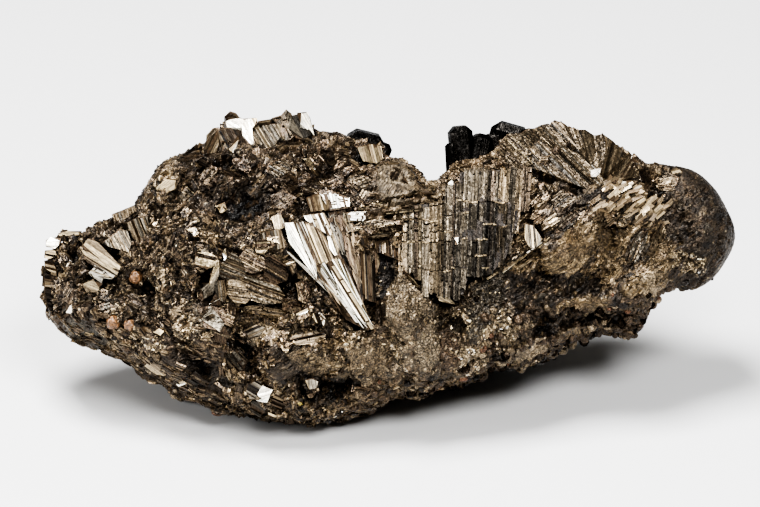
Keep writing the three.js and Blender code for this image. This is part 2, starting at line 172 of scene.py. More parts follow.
class Heap:
    """Many closed crystals in one mesh, each with a tint and with grain coordinates that run along it."""

    def __init__(self, name, slot):
        self.name, self.slot = name, slot
        self.verts, self.loops, self.sizes, self.tints, self.grains = [], [], [], [], []
        self.total = 0

    def add(self, verts, faces, tint, grain):
        """verts and grain are (count, corners, 3), faces are arrays of loops, and tint is (count, 3)."""
        count, corners = verts.shape[:2]
        starts = self.total + corners * np.arange(count)
        for loops in faces:
            loops = np.atleast_2d(loops)
            self.loops.append((starts[:, None, None] + loops[None]).reshape(-1))
            self.sizes.append(np.full(count * len(loops), loops.shape[1]))
        self.verts.append(verts.reshape(-1, 3))
        self.grains.append(grain.reshape(-1, 3))
        self.tints.append(np.repeat(tint, corners, axis=0))
        self.total += count * corners

    def boxes(self, centre, axes, size, tint, rng, skew=0.0):
        """Boxes whose rows of axes are across, along and out. skew cuts their ends at random."""
        local = BOX_CORNERS[None] * size[:, None, :]
        for sign in (-1, 1):
            at = np.sign(BOX_CORNERS[:, 1]) == sign
            cut = rng.uniform(-skew, skew, (len(centre), 2, 1))
            local[:, at, 1] += cut[:, 0] * local[:, at, 0] + cut[:, 1] * local[:, at, 2]
        verts = centre[:, None, :] + np.einsum("nkc,ncd->nkd", local, axes)
        grain = local + rng.uniform(0, 500, (len(centre), 1, 3))
        self.add(verts, [BOX_FACES], tint, grain)

    def prism(self, outline, top, thick, tint, rake=0.0):
        """A slab under an outline on the face. top gives its height at a place, rake slopes its sides."""
        count = len(outline)
        upper = np.array([[u, v, top(u, v)] for u, v in outline])
        lower = upper - [0, rake * thick, thick]
        up = np.arange(count) + count
        ahead, behind = (np.roll(outline, step, axis=0) - outline for step in (-1, 1))
        sides = np.array([[i, (i + 1) % count, (i + 1) % count + count, i + count] for i in range(count)])
        faces = [up, np.arange(count)[::-1], sides]
        if np.cross(ahead, behind).sum() > 0:
            faces = [f[..., ::-1] for f in faces]
        both = np.concatenate([lower, upper])
        self.add(row(both)[None], faces, np.array([tint], float), both[None])

    def object(self):
        arrays = (self.verts, self.loops, self.sizes, self.tints, self.grains)
        return make_object(self.name, self.slot, *(np.concatenate(array) for array in arrays))


def linked(name, data):
    """A new object in the scene."""
    obj = bpy.data.objects.new(name, data)
    bpy.context.scene.collection.objects.link(obj)
    return obj


def make_object(name, slot, verts, loops, sizes, tints, grains):
    """A flat-shaded mesh object in metres, held inside the solids' box and above the floor."""
    verts = np.clip(verts, BOX_LOW, BOX_HIGH)
    verts[:, 2] = np.maximum(verts[:, 2], FLOOR_GAP)
    mesh = bpy.data.meshes.new(name)
    mesh.vertices.add(len(verts))
    mesh.vertices.foreach_set("co", (verts * MM).astype(np.float32).reshape(-1))
    mesh.loops.add(len(loops))
    mesh.loops.foreach_set("vertex_index", loops.astype(np.int32))
    mesh.polygons.add(len(sizes))
    starts = np.concatenate([[0], np.cumsum(sizes)[:-1]])
    mesh.polygons.foreach_set("loop_start", starts.astype(np.int32))
    mesh.update(calc_edges=True)
    mesh.polygons.foreach_set("use_smooth", np.zeros(len(sizes), bool))
    colour = mesh.color_attributes.new("tint", "FLOAT_COLOR", "POINT")
    rgba = np.ones((len(verts), 4), np.float32)
    rgba[:, :tints.shape[1]] = np.clip(tints, 0, 1)
    colour.data.foreach_set("color", rgba.reshape(-1))
    grain = mesh.attributes.new("grain", "FLOAT_VECTOR", "POINT")
    grain.data.foreach_set("vector", grains.astype(np.float32).reshape(-1))
    mesh.materials.append(MATERIALS[slot])
    obj = linked(name, mesh)
    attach(obj, "root")
    return obj


# ---- Materials ----
LINES = (1, 0.06, 0.4)  # how much the grain's noise changes across, along and out of it
EVEN = 1 / np.array(LINES)  # undoes that, where a surface shows no lines
GRIT_SIZE = 0.34
PATCH_SIZE = 6
LINE_SIZE = 0.3
GROOVE = 0.12  # depth of the grooves along the grain


def ore(name, metallic, roughness, flake, flake_size, streak, mottle):
    """Metallic mineral. flake tips tiny facets of flake_size mm out of true, streak darkens lines along the
    grain and grooves them, and mottle varies the tint in patches and grains. The tint's alpha says how
    gritty it is."""
    material = bpy.data.materials.new(name)
    material.use_nodes = True
    nodes, links = material.node_tree.nodes, material.node_tree.links
    surface = nodes["Principled BSDF"]
    surface.inputs["Metallic"].default_value = metallic
    place = nodes.new("ShaderNodeTexCoord").outputs["Object"]

    def attribute(name):
        node = nodes.new("ShaderNodeAttribute")
        node.attribute_name = name
        return node.outputs

    def noise_at(size, source=place, detail=3.0):
        node = nodes.new("ShaderNodeTexNoise")
        node.inputs["Scale"].default_value = 1 / size
        node.inputs["Detail"].default_value = detail
        links.new(source, node.inputs["Vector"])
        return node.outputs["Fac"]

    def ranged(value, low, high, to_low, to_high):
        node = nodes.new("ShaderNodeMapRange")
        for key, number in zip(("From Min", "From Max", "To Min", "To Max"), (low, high, to_low, to_high)):
            node.inputs[key].default_value = number
        links.new(value, node.inputs["Value"])
        return node.outputs["Result"]

    def maths(kind, operation, *values):
        node = nodes.new(kind)
        node.operation = operation
        sockets = [socket for socket in node.inputs if socket.enabled]
        for socket, value in zip(sockets, values):
            if isinstance(value, bpy.types.NodeSocket):
                links.new(value, socket)
            else:
                socket.default_value = value
        return next(output for output in node.outputs if output.enabled)

    def number(operation, *values):
        return maths("ShaderNodeMath", operation, *values)

    def vector(operation, *values):
        return maths("ShaderNodeVectorMath", operation, *values)

    tint = attribute("tint")
    fine = noise_at(GRIT_SIZE * MM)
    coarse = noise_at(PATCH_SIZE * MM, detail=5.0)
    patchy = ranged(coarse, 0.3, 0.7, 1 - 0.6 * mottle, 1 + 0.4 * mottle)
    colour = vector("SCALE", tint["Color"], patchy)
    speckle = ranged(fine, 0.36, 0.64, -mottle, 1.3 * mottle)
    colour = vector("SCALE", colour, number("MULTIPLY_ADD", speckle, tint["Alpha"], 1.0))

    cells = nodes.new("ShaderNodeTexVoronoi")
    cells.inputs["Scale"].default_value = 1 / (flake_size * MM)
    links.new(place, cells.inputs["Vector"])
    offset = vector("SUBTRACT", cells.outputs["Color"], (0.5, 0.5, 0.5))
    offset = vector("MULTIPLY", offset, (flake, flake, flake))
    offset = vector("SCALE", offset, tint["Alpha"])
    tipped = vector("ADD", nodes.new("ShaderNodeNewGeometry").outputs["Normal"], offset)
    tipped = vector("NORMALIZE", tipped)

    lines = noise_at(LINE_SIZE, vector("MULTIPLY", attribute("grain")["Vector"], LINES), 2.0)
    colour = vector("SCALE", colour, ranged(lines, 0.4, 0.6, 1 - streak, 1 + 0.6 * streak))
    bump = nodes.new("ShaderNodeBump")
    bump.inputs["Strength"].default_value = 0.5
    bump.inputs["Distance"].default_value = GROOVE * MM
    links.new(lines, bump.inputs["Height"])
    links.new(tipped, bump.inputs["Normal"])
    links.new(bump.outputs["Normal"], surface.inputs["Normal"])
    links.new(colour, surface.inputs["Base Color"])
    uneven = ranged(fine, 0.3, 0.7, roughness - 0.1, roughness + 0.14)
    gritless = ranged(tint["Alpha"], 0.3, 1, 0.22, 0)  # what has no grit is duller instead
    links.new(number("ADD", uneven, gritless), surface.inputs["Roughness"])
    return material


MATERIALS = {
    "rock": ore("ore_mass", 0.6, 0.34, 0.7, 0.32, 0.72, 0.5),
    "bright_blades": ore("bright_blades", 0.35, 0.34, 0.12, 0.9, 0.4, 0.12),
    "grey_blades": ore("grey_blades", 0.7, 0.32, 0.2, 0.5, 0.55, 0.3),
    "bronze_blades": ore("bronze_blades", 0.7, 0.32, 0.35, 0.4, 0.5, 0.35),
    "cassiterite": ore("cassiterite", 1.0, 0.26, 0.12, 0.8, 0.5, 0.4),
    "spherule": ore("spherule", 0.0, 0.36, 0.3, 0.5, 0.3, 0.5),
}
for slot, socket, value in (
    ("bright_blades", "Specular IOR Level", 0.2), ("cassiterite", "Specular Tint", (0.3, 0.3, 0.3, 1)),
):
    MATERIALS[slot].node_tree.nodes["Principled BSDF"].inputs[socket].default_value = value

# ---- Tints ----
WHITE = (0.97, 0.9, 0.76)
BEIGE = (0.45, 0.36, 0.225)
TAN = (0.215, 0.165, 0.105)
BRONZE = (0.108, 0.079, 0.047)
BROWN = (0.056, 0.037, 0.022)
DARK = (0.015, 0.011, 0.008)
GREY = (0.17, 0.146, 0.11)
SLATE = (0.058, 0.049, 0.037)
FACET = (0.125, 0.098, 0.065)
GOLD = (0.185, 0.133, 0.072)
RUST = (0.12, 0.06, 0.033)

ROCK = [(DARK, 1.2), (BROWN, 3), (BRONZE, 4), (TAN, 2.4), (BEIGE, 0.8)]
# In GLITTER and GRAINS the WHITE tints are painted glints, a painted highlight on single facets.
GLITTER = [(DARK, 5), (BROWN, 2.6), (BRONZE, 2), (TAN, 1.5), (BEIGE, 1.4), (WHITE, 0.4)]
GRAINS = [(DARK, 1.5), (BROWN, 1), (BRONZE, 1.5), (TAN, 3), (BEIGE, 3), (WHITE, 0.5)]
SCALES = [(GOLD, 4), (TAN, 1.5), (BRONZE, 2), (BROWN, 1), (DARK, 0.5)]
DIM = [(DARK, 3), (BROWN, 3), (SLATE, 2), (BRONZE, 1)]
SHADE = [(DARK, 3), (BROWN, 4), (BRONZE, 2), (TAN, 0.5)]
LOBE = [(BRONZE, 1.5), (SLATE, 2), (BROWN, 4), (DARK, 4)]
LEAVES = [(BRONZE, 4), (GREY, 2), (TAN, 1.5), (BROWN, 1.5), (SLATE, 1.5)]
SHEAVES = [(BRONZE, 4), (TAN, 1.5), (SLATE, 2), (BROWN, 1.5)]
GOLDEN = [(GOLD, 3), (BRONZE, 2), (BROWN, 1), (TAN, 1.2)]
SPECKLED = [(BRONZE, 3), (TAN, 1.2), (BROWN, 3), (SLATE, 2)]
BROKEN = [(DARK, 2), (BROWN, 2.5), (BRONZE, 2.5), (GOLD, 1.5), (TAN, 1.5), (BEIGE, 0.7)]
BRIGHT = [(WHITE, 0.2), (BEIGE, 3), (TAN, 3), (BRONZE, 3), (BROWN, 2)]
STRIPED = [(WHITE, 2), (BEIGE, 2), (TAN, 1), (BROWN, 1)]
BLADES = [(BEIGE, 1), (TAN, 3), (BRONZE, 4), (BROWN, 3)]
COLUMNS = [(BEIGE, 1), (GREY, 3.5), (TAN, 1.4), (BRONZE, 3), (SLATE, 2.5), (DARK, 1.2)]
SILVERY = [(WHITE, 3), (BEIGE, 1)]
PALE = [(BEIGE, 3), (WHITE, 1)]
CREAM = [(BEIGE, 3), (TAN, 1)]
DUSKY = [(BRONZE, 3), (BROWN, 2), (TAN, 1)]
UMBER = [(BROWN, 3), (BRONZE, 2)]


def tints(rng, palette, count, spread=0.18, mute=0.0):
    """Random tints from a palette of (tint, share), drawn towards its middle by mute."""
    shares = np.array([share for _, share in palette])
    shares = shares / shares.sum()
    choices = np.array([colour for colour, _ in palette])
    colours = choices[rng.choice(len(palette), count, p=shares)]
    middle = np.exp(shares @ np.log(choices))
    colours = middle**mute * colours ** (1 - mute)
    return colours * rng.uniform(1 - spread, 1 + spread, (count, 1))


# ---- The rock's surface ----
class Style(NamedTuple):
    """How one kind of broken surface looks."""

    palette: list
    size: float  # scales its facets
    step: float  # the height between its leaves
    slope: float  # how far its facets tip
    grit: float  # roughens it
    # The next field is the share of its vertices painted pale as glints, a painted highlight.
    painted_glints: float  # the share of its vertices that glint
    reach: float = 1.0  # scales its facets' length once more
    fine: float = 1.0  # the share of the small facets that it has
    angle: float = None  # the direction of its leaves on the face, where they have one
    spread: float = 0.0  # how much that varies
    even: bool = False  # whether it has no lines along its leaves


STYLES = {
    "mixed": Style(ROCK, 1.0, 0.18, 0.3, 1.0, 0.008),
    "glitter": Style(GLITTER, 0.7, 0.26, 0.4, 1.3, 0.012),
    "dark": Style(SHADE, 0.9, 0.3, 0.45, 1.1, 0.006),
    "broken": Style(BROKEN, 0.8, 0.28, 0.45, 1.3, 0.012),
    "knobby": Style(SHADE, 0.8, 0.2, 0.5, 0.9, 0.008),
    "chippy": Style(BROKEN, 0.7, 0.22, 0.35, 1.2, 0.015, angle=5, spread=25),
    "fibrous": Style(SHADE, 1.0, 0.13, 0.12, 0.5, 0.008, 2.0, 0.3, 146, 8),
    "streaked": Style(ROCK, 1.0, 0.2, 0.18, 0.6, 0.004, 1.7, 0.4, 37, 9),
    "golden": Style(GOLDEN, 1.1, 0.09, 0.09, 0.8, 0.006, 1.8, 0.2, 40, 8, even=True),
    "smooth": Style(LOBE, 1.2, 0.12, 0.14, 0.6, 0.003, 1.4, 0.7, 60, 30, even=True),
    "wavy": Style(ROCK, 1.1, 0.14, 0.12, 0.55, 0.004, 2.0, 0.3, 14, 8),
    "speckled": Style(SPECKLED, 1.4, 0.09, 0.13, 0.85, 0.012, 1.3, 0.4, 75, 30, even=True),
    "granular": Style(GRAINS, 0.6, 0.3, 0.5, 1.4, 0.05, even=True),
    "scaly": Style(SCALES, 0.9, 0.2, 0.3, 0.8, 0.01, 1.3, 0.8, 40, 25),
    "shadowed": Style(DIM, 1.0, 0.2, 0.3, 0.8, 0.004, 1.6, 0.6, 38, 14),
}
KINDS = list(STYLES)
# Where they are on the face: lowest u, highest u, lowest v, highest v. An earlier zone wins.
ZONES = [
    (60, 78, -8, 24, "smooth"), (47, 78, -20, -3, "knobby"), (30, 60, -7, 9.5, "golden"),
    (24, 62, 6, 20, "streaked"), (20, 60, -20, -7, "knobby"), (1, 12, 4.5, 9.5, "chippy"),
    (-3, 13, 6, 19.5, "wavy"), (-9, 24, -24, 4, "speckled"), (-46, 2, 12.5, 30, "dark"),
    (-36, -9, -34, -8.5, "broken"), (-76, -36, -34, -11, "fibrous"), (-76, -13, -12, 22, "glitter"),
    (24, 32, -7, 6, "golden"),
]
# The styles off the face, in patches.
BACK_KINDS = ("smooth", "streaked", "mixed", "glitter", "wavy", "dark", "speckled")
FACE_EDGE = -6.0  # behind this depth the zones of the face don't hold

# Hollows of the face, sunk and darkened with painted shade: place and half sizes along u and v, and depth.
HOLLOWS = [
    (-30.7, 13.5, 4.0, 2.6, 3.0), (-52.4, -4.3, 1.8, 1.6, 2.5), (-69.6, 4.2, 2.0, 2.8, 4.0),
    (-21.7, -3.3, 2.8, 2.4, 2.6), (-30, -17.8, 2.2, 4.6, 3.0), (-11.5, -25, 3.6, 2.8, 3.0),
    (-2.2, -4.3, 1.2, 2.2, 3.0), (-0.9, 2.6, 2.0, 2.2, 1.5), (33, 20.4, 2.0, 1.6, 2.0),
    (58, 17.4, 1.6, 2.0, 2.0), (47.2, -11.3, 7.0, 1.6, 2.0), (34.1, -12.2, 1.4, 1.8, 2.4),
    (-39.8, -21.7, 3.0, 2.0, 2.0), (-34.3, 22.8, 5.6, 1.6, 1.6), (-13.5, -8.5, 1.6, 1.0, 1.6),
    (-5, 26.5, 4, 3, 2.6), (-40.3, -1.3, 1.5, 1.5, 2.6),
]


def rounded(verts, tris, share, rounds):
    """Vertices drawn to the middle of their neighbours in many rounds, each by its own share."""
    first, second = tris.reshape(-1), np.roll(tris, -1, axis=1).reshape(-1)
    count = np.bincount(first, minlength=len(verts))
    for _ in range(rounds):
        sums = np.column_stack([np.bincount(first, verts[second, axis], len(verts)) for axis in range(3)])
        verts = verts + (sums / count[:, None] - verts) * share[:, None]
    return verts


def normals_of(verts, tris):
    """The smooth normal at each vertex."""
    corners = verts[tris]
    cross = np.cross(corners[:, 1] - corners[:, 0], corners[:, 2] - corners[:, 0])
    at = tris.reshape(-1)
    sums = np.column_stack([np.bincount(at, np.repeat(cross[:, axis], 3), len(verts)) for axis in range(3)])
    return sums / (np.linalg.norm(sums, axis=1, keepdims=True) + 1e-9)


class Relief:
    """The rock solid remeshed finely. Facets are cut into the height, tint and grain at each vertex."""

    def __init__(self):
        copy = linked("rock_copy", frame["nodes"]["rock"].data.copy())
        remesh = copy.modifiers.new("fine", "REMESH")
        remesh.mode = "VOXEL"
        remesh.voxel_size = ROCK_STEP * MM
        made = copy.evaluated_get(bpy.context.evaluated_depsgraph_get())
        mesh = bpy.data.meshes.new_from_object(made)
        self.verts, self.tris = arrays_of(mesh)
        lobe = np.clip((self.verts[:, 0] - LOBE_START) / LOBE_BLEND, 0, 1)
        self.verts = rounded(self.verts, self.tris, lobe, LOBE_ROUNDS)
        self.normals = normals_of(self.verts, self.tris)
        self.verts += self.normals * LOBE_PROUD * lobe[:, None]
        bpy.data.objects.remove(copy)
        bpy.data.meshes.remove(mesh)
        self.places = face(self.verts)
        self.fronts = self.normals @ FACE_AXES[2]
        self.height = np.zeros(len(self.verts))
        self.hollow = np.zeros(len(self.verts))
        self.covered = np.zeros(len(self.verts), bool)
        self.tint = np.tile(np.array(BRONZE), (len(self.verts), 1))
        self.grain = self.verts.copy()
        self.kind = self.kinds()
        self.grit = self.by_kind("grit")
        self.tree = kdtree.KDTree(len(self.verts))
        for i, vert in enumerate(self.verts.tolist()):
            self.tree.insert(vert, i)
        self.tree.balance()

    def by_kind(self, quality):
        """A number of its style, for each vertex."""
        return np.array([getattr(style, quality) for style in STYLES.values()])[self.kind]

    def noise_at(self, scale, shift=0.0):
        """Smooth noise at each vertex."""
        shift = Vector((shift, shift, shift))
        return np.array([noise.noise(Vector(p) * scale + shift) for p in self.places.tolist()])

    def fractal_at(self, scale, fall, gap):
        """Noise of four sizes at each vertex."""
        return np.array([noise.fractal(Vector(p) * scale, fall, gap, 4) for p in self.places.tolist()])

    def on_face(self, outline):
        """Which vertices lie inside an outline, on the face's side of the rock."""
        return within(self.places, outline) & (self.fronts > FRONTAL) & (self.places[:, 2] > FACE_BACK)

    def kinds(self):
        """The style of each vertex, as a place in KINDS. The zones' borders wander."""
        drift = self.noise_at(0.16) * 4
        u, v, w = self.places.T
        wander = self.noise_at(0.06, 9)
        share = np.clip((wander + 0.45) / 0.9, 0, 0.999)
        kind = np.array([KINDS.index(name) for name in BACK_KINDS])[(share * len(BACK_KINDS)).astype(int)]
        kind[w > FACE_EDGE] = KINDS.index("mixed")
        for u0, u1, v0, v1, style in reversed(ZONES):
            edge = LOBE_BACK + 2 * drift if style == "smooth" else FACE_EDGE
            inside = (u + drift > u0) & (u + drift < u1) & (v - drift > v0) & (v - drift < v1) & (w > edge)
            kind[inside] = KINDS.index(style)
        wandering = self.places[:, :2] + drift[:, None] * 0.25
        front = (self.fronts > 0) & (w > FACE_BACK)
        for style, outlines in AREAS:
            for outline in outlines:
                kind[within(wandering, np.array(outline, float)) & front] = KINDS.index(style)
        return kind

    def around(self, centre, reach):
        return np.array([found[1] for found in self.tree.find_range(centre, reach)], int)

    def facet(self, at, strike, long, wide, leaf, style, mute, rng):
        """Cut one packet of parallel leaves into the surface around a vertex."""
        centre, normal = self.verts[at], self.normals[at]
        near = self.around(centre, 0.5 * math.hypot(long, wide))
        along = strike - (strike @ normal) * normal
        along /= np.linalg.norm(along) + 1e-9
        across = np.cross(along, normal)
        offset = self.verts[near] - centre
        a, s = offset @ along, offset @ across
        facing = self.normals[near] @ normal
        leaves = max(1, round(wide / leaf))
        which = np.floor((s / wide + 0.5) * leaves).astype(int)
        kept = (which >= 0) & (which < leaves) & (facing > 0.4)
        which = np.clip(which, 0, leaves - 1)
        ends = rng.uniform(0.3, 0.5, (2, leaves)) * long
        kept &= (a < ends[0][which]) & (a > -ends[1][which])
        if kept.sum() < 3:
            return
        near, a, s, which, facing, offset = (array[kept] for array in (near, a, s, which, facing, offset))
        step, slope = style.step, style.slope
        steps = rng.uniform(-step, step, leaves)
        tip_a, tip_s = rng.uniform(-slope, slope, 2)
        level = self.height[near].mean() + rng.uniform(-step, step) + steps[which] + tip_a * a + tip_s * s
        target = (level - offset @ normal) / facing
        most = 0.9  # how far one facet may move the surface
        self.height[near] = np.clip(target, self.height[near] - most, self.height[near] + most)
        colours = tints(rng, style.palette, 1, mute=mute) * tints(rng, style.palette, leaves, mute=mute)
        # Painted light and shade: leaves that stand higher are painted lighter, and those that lie lower
        # darker.
        self.tint[near] = np.sqrt(colours)[which] * (1 + 0.3 * steps / max(step, 0.1))[which][:, None]
        grain = np.column_stack([s, a, level])
        self.grain[near] = (grain * EVEN if style.even else grain) + rng.uniform(0, 500, 3)

    def break_up(self, seed, count, long, wide, leaf, mute, fine=False):
        """Facets of one size all over, in each zone's style."""
        rng = np.random.default_rng(seed)
        for at in rng.integers(0, len(self.verts), count):
            style = STYLES[KINDS[self.kind[at]]]
            if fine and rng.random() > style.fine:
                continue
            if style.angle is not None:
                strike = on_face(style.angle + rng.normal() * style.spread)
            elif rng.random() < 0.6:
                strike = on_face(noise.noise(Vector(self.places[at]) * 0.09) * 500)
            else:
                strike = rng.normal(size=3)
            length = rng.uniform(*long) * style.size * style.reach
            width = rng.uniform(*wide) * style.size
            self.facet(at, strike, length, width, leaf, style, mute, rng)

    def patch(self, outline, lift, tint, angle, grit):
        """Raise or sink one facet of the face, by its outline."""
        inside = self.on_face(np.array(outline, float))
        u, v, w = self.places[inside].T
        system = np.column_stack([np.ones(len(u)), u, v])
        plane = system @ np.linalg.lstsq(system, w, rcond=None)[0]
        level = 0.6 * np.clip(plane - w, -1, 1) + lift + 0.25 * self.height[inside]
        self.height[inside] = np.clip(level, -2.0, 1.6)
        own = self.tint[inside] / np.exp(np.log(self.tint[inside]).mean(axis=0))
        self.tint[inside] = np.array(tint) * own**0.35
        turn = math.radians(angle)
        a = u * math.cos(turn) + v * math.sin(turn)
        across = u * math.sin(turn) - v * math.cos(turn)
        self.grain[inside] = np.column_stack([across, a, w]) * (EVEN if grit > 0.45 else 1)
        self.grit[inside] = grit

    def sink_hollows(self):
        """Lower the surface in the hollows, with uneven rims."""
        rim = self.noise_at(0.35)
        facing = np.clip(2.5 * self.fronts, 0, 1) * (self.places[:, 2] > -20)
        for u, v, half_u, half_v, deep in HOLLOWS:
            distance = ((self.places[:, 0] - u) / half_u) ** 2 + ((self.places[:, 1] - v) / half_v) ** 2
            self.hollow += deep * np.exp(-((distance * np.clip(1 + 1.2 * rim, 0.4, 2)) ** 1.6)) * facing
        self.height -= self.hollow

    def sink_under(self, outline, plane, covered=True):
        """Lower the rock where it would show through a crystal that rests on a plane of the face."""
        if covered:
            self.covered |= self.on_face(resized(outline, 1.05))
        inside = self.on_face(resized(outline, 0.9))
        u, v, w = self.places[inside].T
        below = (plane[0] + plane[1] * u + plane[2] * v - 0.6 - w) / np.clip(self.fronts[inside], 0.35, 1)
        self.height[inside] = np.minimum(self.height[inside], below)

    def finish(self, seed):
        """Colour the patches and roughen every facet a little, then settle the vertices."""
        rng = np.random.default_rng(seed)
        self.tint *= (1 + 0.35 * np.clip(self.fractal_at(0.06, 0.8, 2.0), -1, 1))[:, None]
        # Painted shade: the tint is darkened in the hollows, the more the deeper they are.
        self.tint *= np.clip(1 - 0.42 * self.hollow, 0.1, 1)[:, None]
        grit = self.grit
        self.tint *= np.exp(rng.normal(0, 0.36, len(self.verts)) * grit)[:, None]
        # Painted highlight: a share of the vertices outside the hollows is painted pale as glints.
        painted_glints = self.by_kind("painted_glints") * (self.hollow < 0.5)
        self.tint[rng.random(len(self.verts)) < painted_glints] = BEIGE
        self.tint = np.column_stack([self.tint, np.clip(grit, 0, 1)])
        settle = np.clip((self.verts[:, 2:] - 0.3) / 2.0, 0, 1)
        on_lobe = self.verts[:, 0] > LOBE_START + 2
        swell = np.clip(self.fractal_at(0.3, 0.7, 2.2), -1, 1) * np.where(on_lobe, 0.75, 0.4)
        height = np.clip(self.height - 0.1 + swell, -2.8, 0.8)
        self.moved = self.verts + self.normals * height[:, None] * settle
        self.moved += rng.normal(0, 0.06, self.verts.shape) * grit[:, None] * settle

    def object(self, name, low, high):
        """The stretch of rock between two places along it, as a closed mesh."""
        middle = self.verts[self.tris].mean(axis=1)[:, 0]
        part = self.tris[(middle >= low) & (middle < high)]
        edges = np.concatenate([part[:, [0, 1]], part[:, [1, 2]], part[:, [2, 0]]])
        found = np.unique(np.sort(edges, axis=1), axis=0, return_index=True, return_counts=True)
        rim = edges[found[1][found[2] == 1]]  # the edges with one triangle
        verts, tint, grain = [self.moved], [self.tint], [self.grain]
        total = len(self.moved)
        for cut in (low, high):
            at_cut = rim[np.abs(self.moved[rim[:, 0], 0] - cut) < 4]
            if len(at_cut):
                verts.append(self.moved[at_cut[:, 0]].mean(axis=0)[None])
                tint.append(np.array([[*BROWN, 1]]))
                grain.append(np.zeros((1, 3)))
                cap = np.column_stack([at_cut[:, ::-1], np.full(len(at_cut), total)])
                part = np.concatenate([part, cap])
                total += 1
        used, part = np.unique(part, return_inverse=True)
        verts, tint, grain = (np.concatenate(array)[used] for array in (verts, tint, grain))
        part = part.reshape(-1, 3)
        loops, sizes = part.reshape(-1), np.full(len(part), 3)
        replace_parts(make_object(name, "rock", verts, loops, sizes, tint, grain), "rock")


# ---- Crystals laid out by their outlines on the face ----
def crossings(outline, s):
    """Where the line across an outline at s enters and leaves it, in (s, t) coordinates."""
    hits = []
    for (s0, t0), (s1, t1) in zip(outline, np.roll(outline, -1, axis=0)):
        if (s0 <= s) != (s1 <= s):
            hits.append(t0 + (t1 - t0) * (s - s0) / (s1 - s0))
    return (min(hits), max(hits)) if len(hits) > 1 else None


def resting_plane(outline, tree):
    """The plane w = a + b u + c v through the solids under an outline."""
    samples = []
    for share in (0.35, 0.7, 0.95):
        for u, v in resized(outline, share):
            w = depth(u, v, tree)
            if w is None:
                w = depth(u, v)
            if w is not None:
                samples.append((u, v, w))
    samples = np.array(samples)
    system = np.column_stack([np.ones(len(samples)), samples[:, :2]])
    steepest = 0.9
    b, c = np.clip(np.linalg.lstsq(system, samples[:, 2], rcond=None)[0][1:], -steepest, steepest)
    mean = samples.mean(axis=0)
    return mean[2] - b * mean[0] - c * mean[1], b, c


BEVEL = 0.25  # slants the ends of a crystal's strips


def crystal(heap, outline, angle, tint, rng, tree="all", pitch=0.6, step=0.2, lift=0.3, thick=3.0,
            ragged=0.03, breaks=None, slope=(0, 0), spread=0.2, dark=0.15, gap=0.06, roll=0.3, grown=1.0,
            dim=1.0, rake=0.0):
    """A striated crystal: its outline is cut along angle into strips of uneven height over a dark slab.
    tree says which solid it rests on, pitch is the strips' mean width, step how uneven their height is, lift
    how far they stand out, thick how far they go in and ragged how uneven their ends are. breaks is the mean
    length of a strip's pieces, slope tips the whole, spread varies the pieces' tint, dark is the share of
    strips that lie deep, gap is the room between strips and roll the steepest slope across one. grown is how
    far the outline is spread, dim scales the tint and rake slopes the sides down the face as they go in."""
    outline = np.array(outline, float)
    a, b, c = resting_plane(outline, tree)
    outline = resized(outline, grown)
    turn = math.radians(angle)
    along = np.array([math.cos(turn), math.sin(turn)])
    across = np.array([along[1], -along[0]])
    st = np.column_stack([outline @ across, outline @ along])
    low, high = st[:, 0].min(), st[:, 0].max()
    count = max(1, round((high - low) / pitch))
    edges = np.linspace(low, high, count + 1)
    edges[1:-1] += rng.uniform(-0.35, 0.35, count - 1) * (high - low) / count
    middle = outline.mean(axis=0)
    palette = tint if isinstance(tint, list) else [(tint, 1)]

    def height(u, v):
        return a + b * u + c * v + lift + slope[0] * (u - middle[0]) + slope[1] * (v - middle[1])

    # The slab fills the crystal beneath its strips. It is dark brown as painted shade, so that the gaps
    # between the strips show dark like shadow.
    heap.prism(resized(outline, 0.94), lambda u, v: height(u, v) - step - 0.25, thick, BROWN, rake)
    for s0, s1 in zip(edges[:-1], edges[1:]):
        room = min(gap, 0.3 * (s1 - s0)) / 2
        sides = s0 + room, s1 - room
        spans = [crossings(st, s) for s in sides]
        if None in spans:
            continue
        length = max(t1 - t0 for t0, t1 in spans)
        cuts = [rng.uniform(0, ragged), 1 - rng.uniform(0, ragged)]
        if breaks:
            pieces = max(1, round(length / breaks * rng.uniform(0.7, 1.3)))
            cuts = sorted(cuts + list(rng.uniform(0.08, 0.92, pieces - 1)))
        colour = tints(rng, palette, 1, 0.1)[0] * dim
        deep = rng.random() < dark
        for c0, c1 in zip(cuts[:-1], cuts[1:]):
            if (c1 - c0) * length < 0.2:
                continue
            rise = rng.uniform(-1, 1)
            tipped = rng.uniform(-roll, roll) * (s1 - s0) / 2
            # Painted light and shade: a strip is painted lighter the higher it stands, and a strip that lies
            # deep is darkened to a third.
            shade = colour * (1 + spread * rise)
            if deep:
                rise -= 1.6
                shade = shade * 0.3
            corners = []
            for s, (t0, t1) in zip(sides, spans):
                for share in (c0, c1):
                    corners.append(s * across + (t0 + (t1 - t0) * share) * along)
            ring = [corners[i] for i in (0, 2, 3, 1)]
            upper = np.array([[*p, height(*p) + rise * step] for p in ring])
            upper[:, 2] += tipped * np.array([-1, 1, 1, -1])
            slant = min(BEVEL, 0.3 * (c1 - c0) * length) * along
            upper[2:, :2] -= slant
            upper[:2, :2] += slant * 0.5
            both = np.concatenate([upper - [0, rake * thick, thick], upper])
            grain = np.column_stack([both[:, :2] @ across, both[:, :2] @ along, both[:, 2]])
            heap.add(row(both)[None], [BOX_FACES], shade[None], grain[None] + rng.uniform(0, 200))


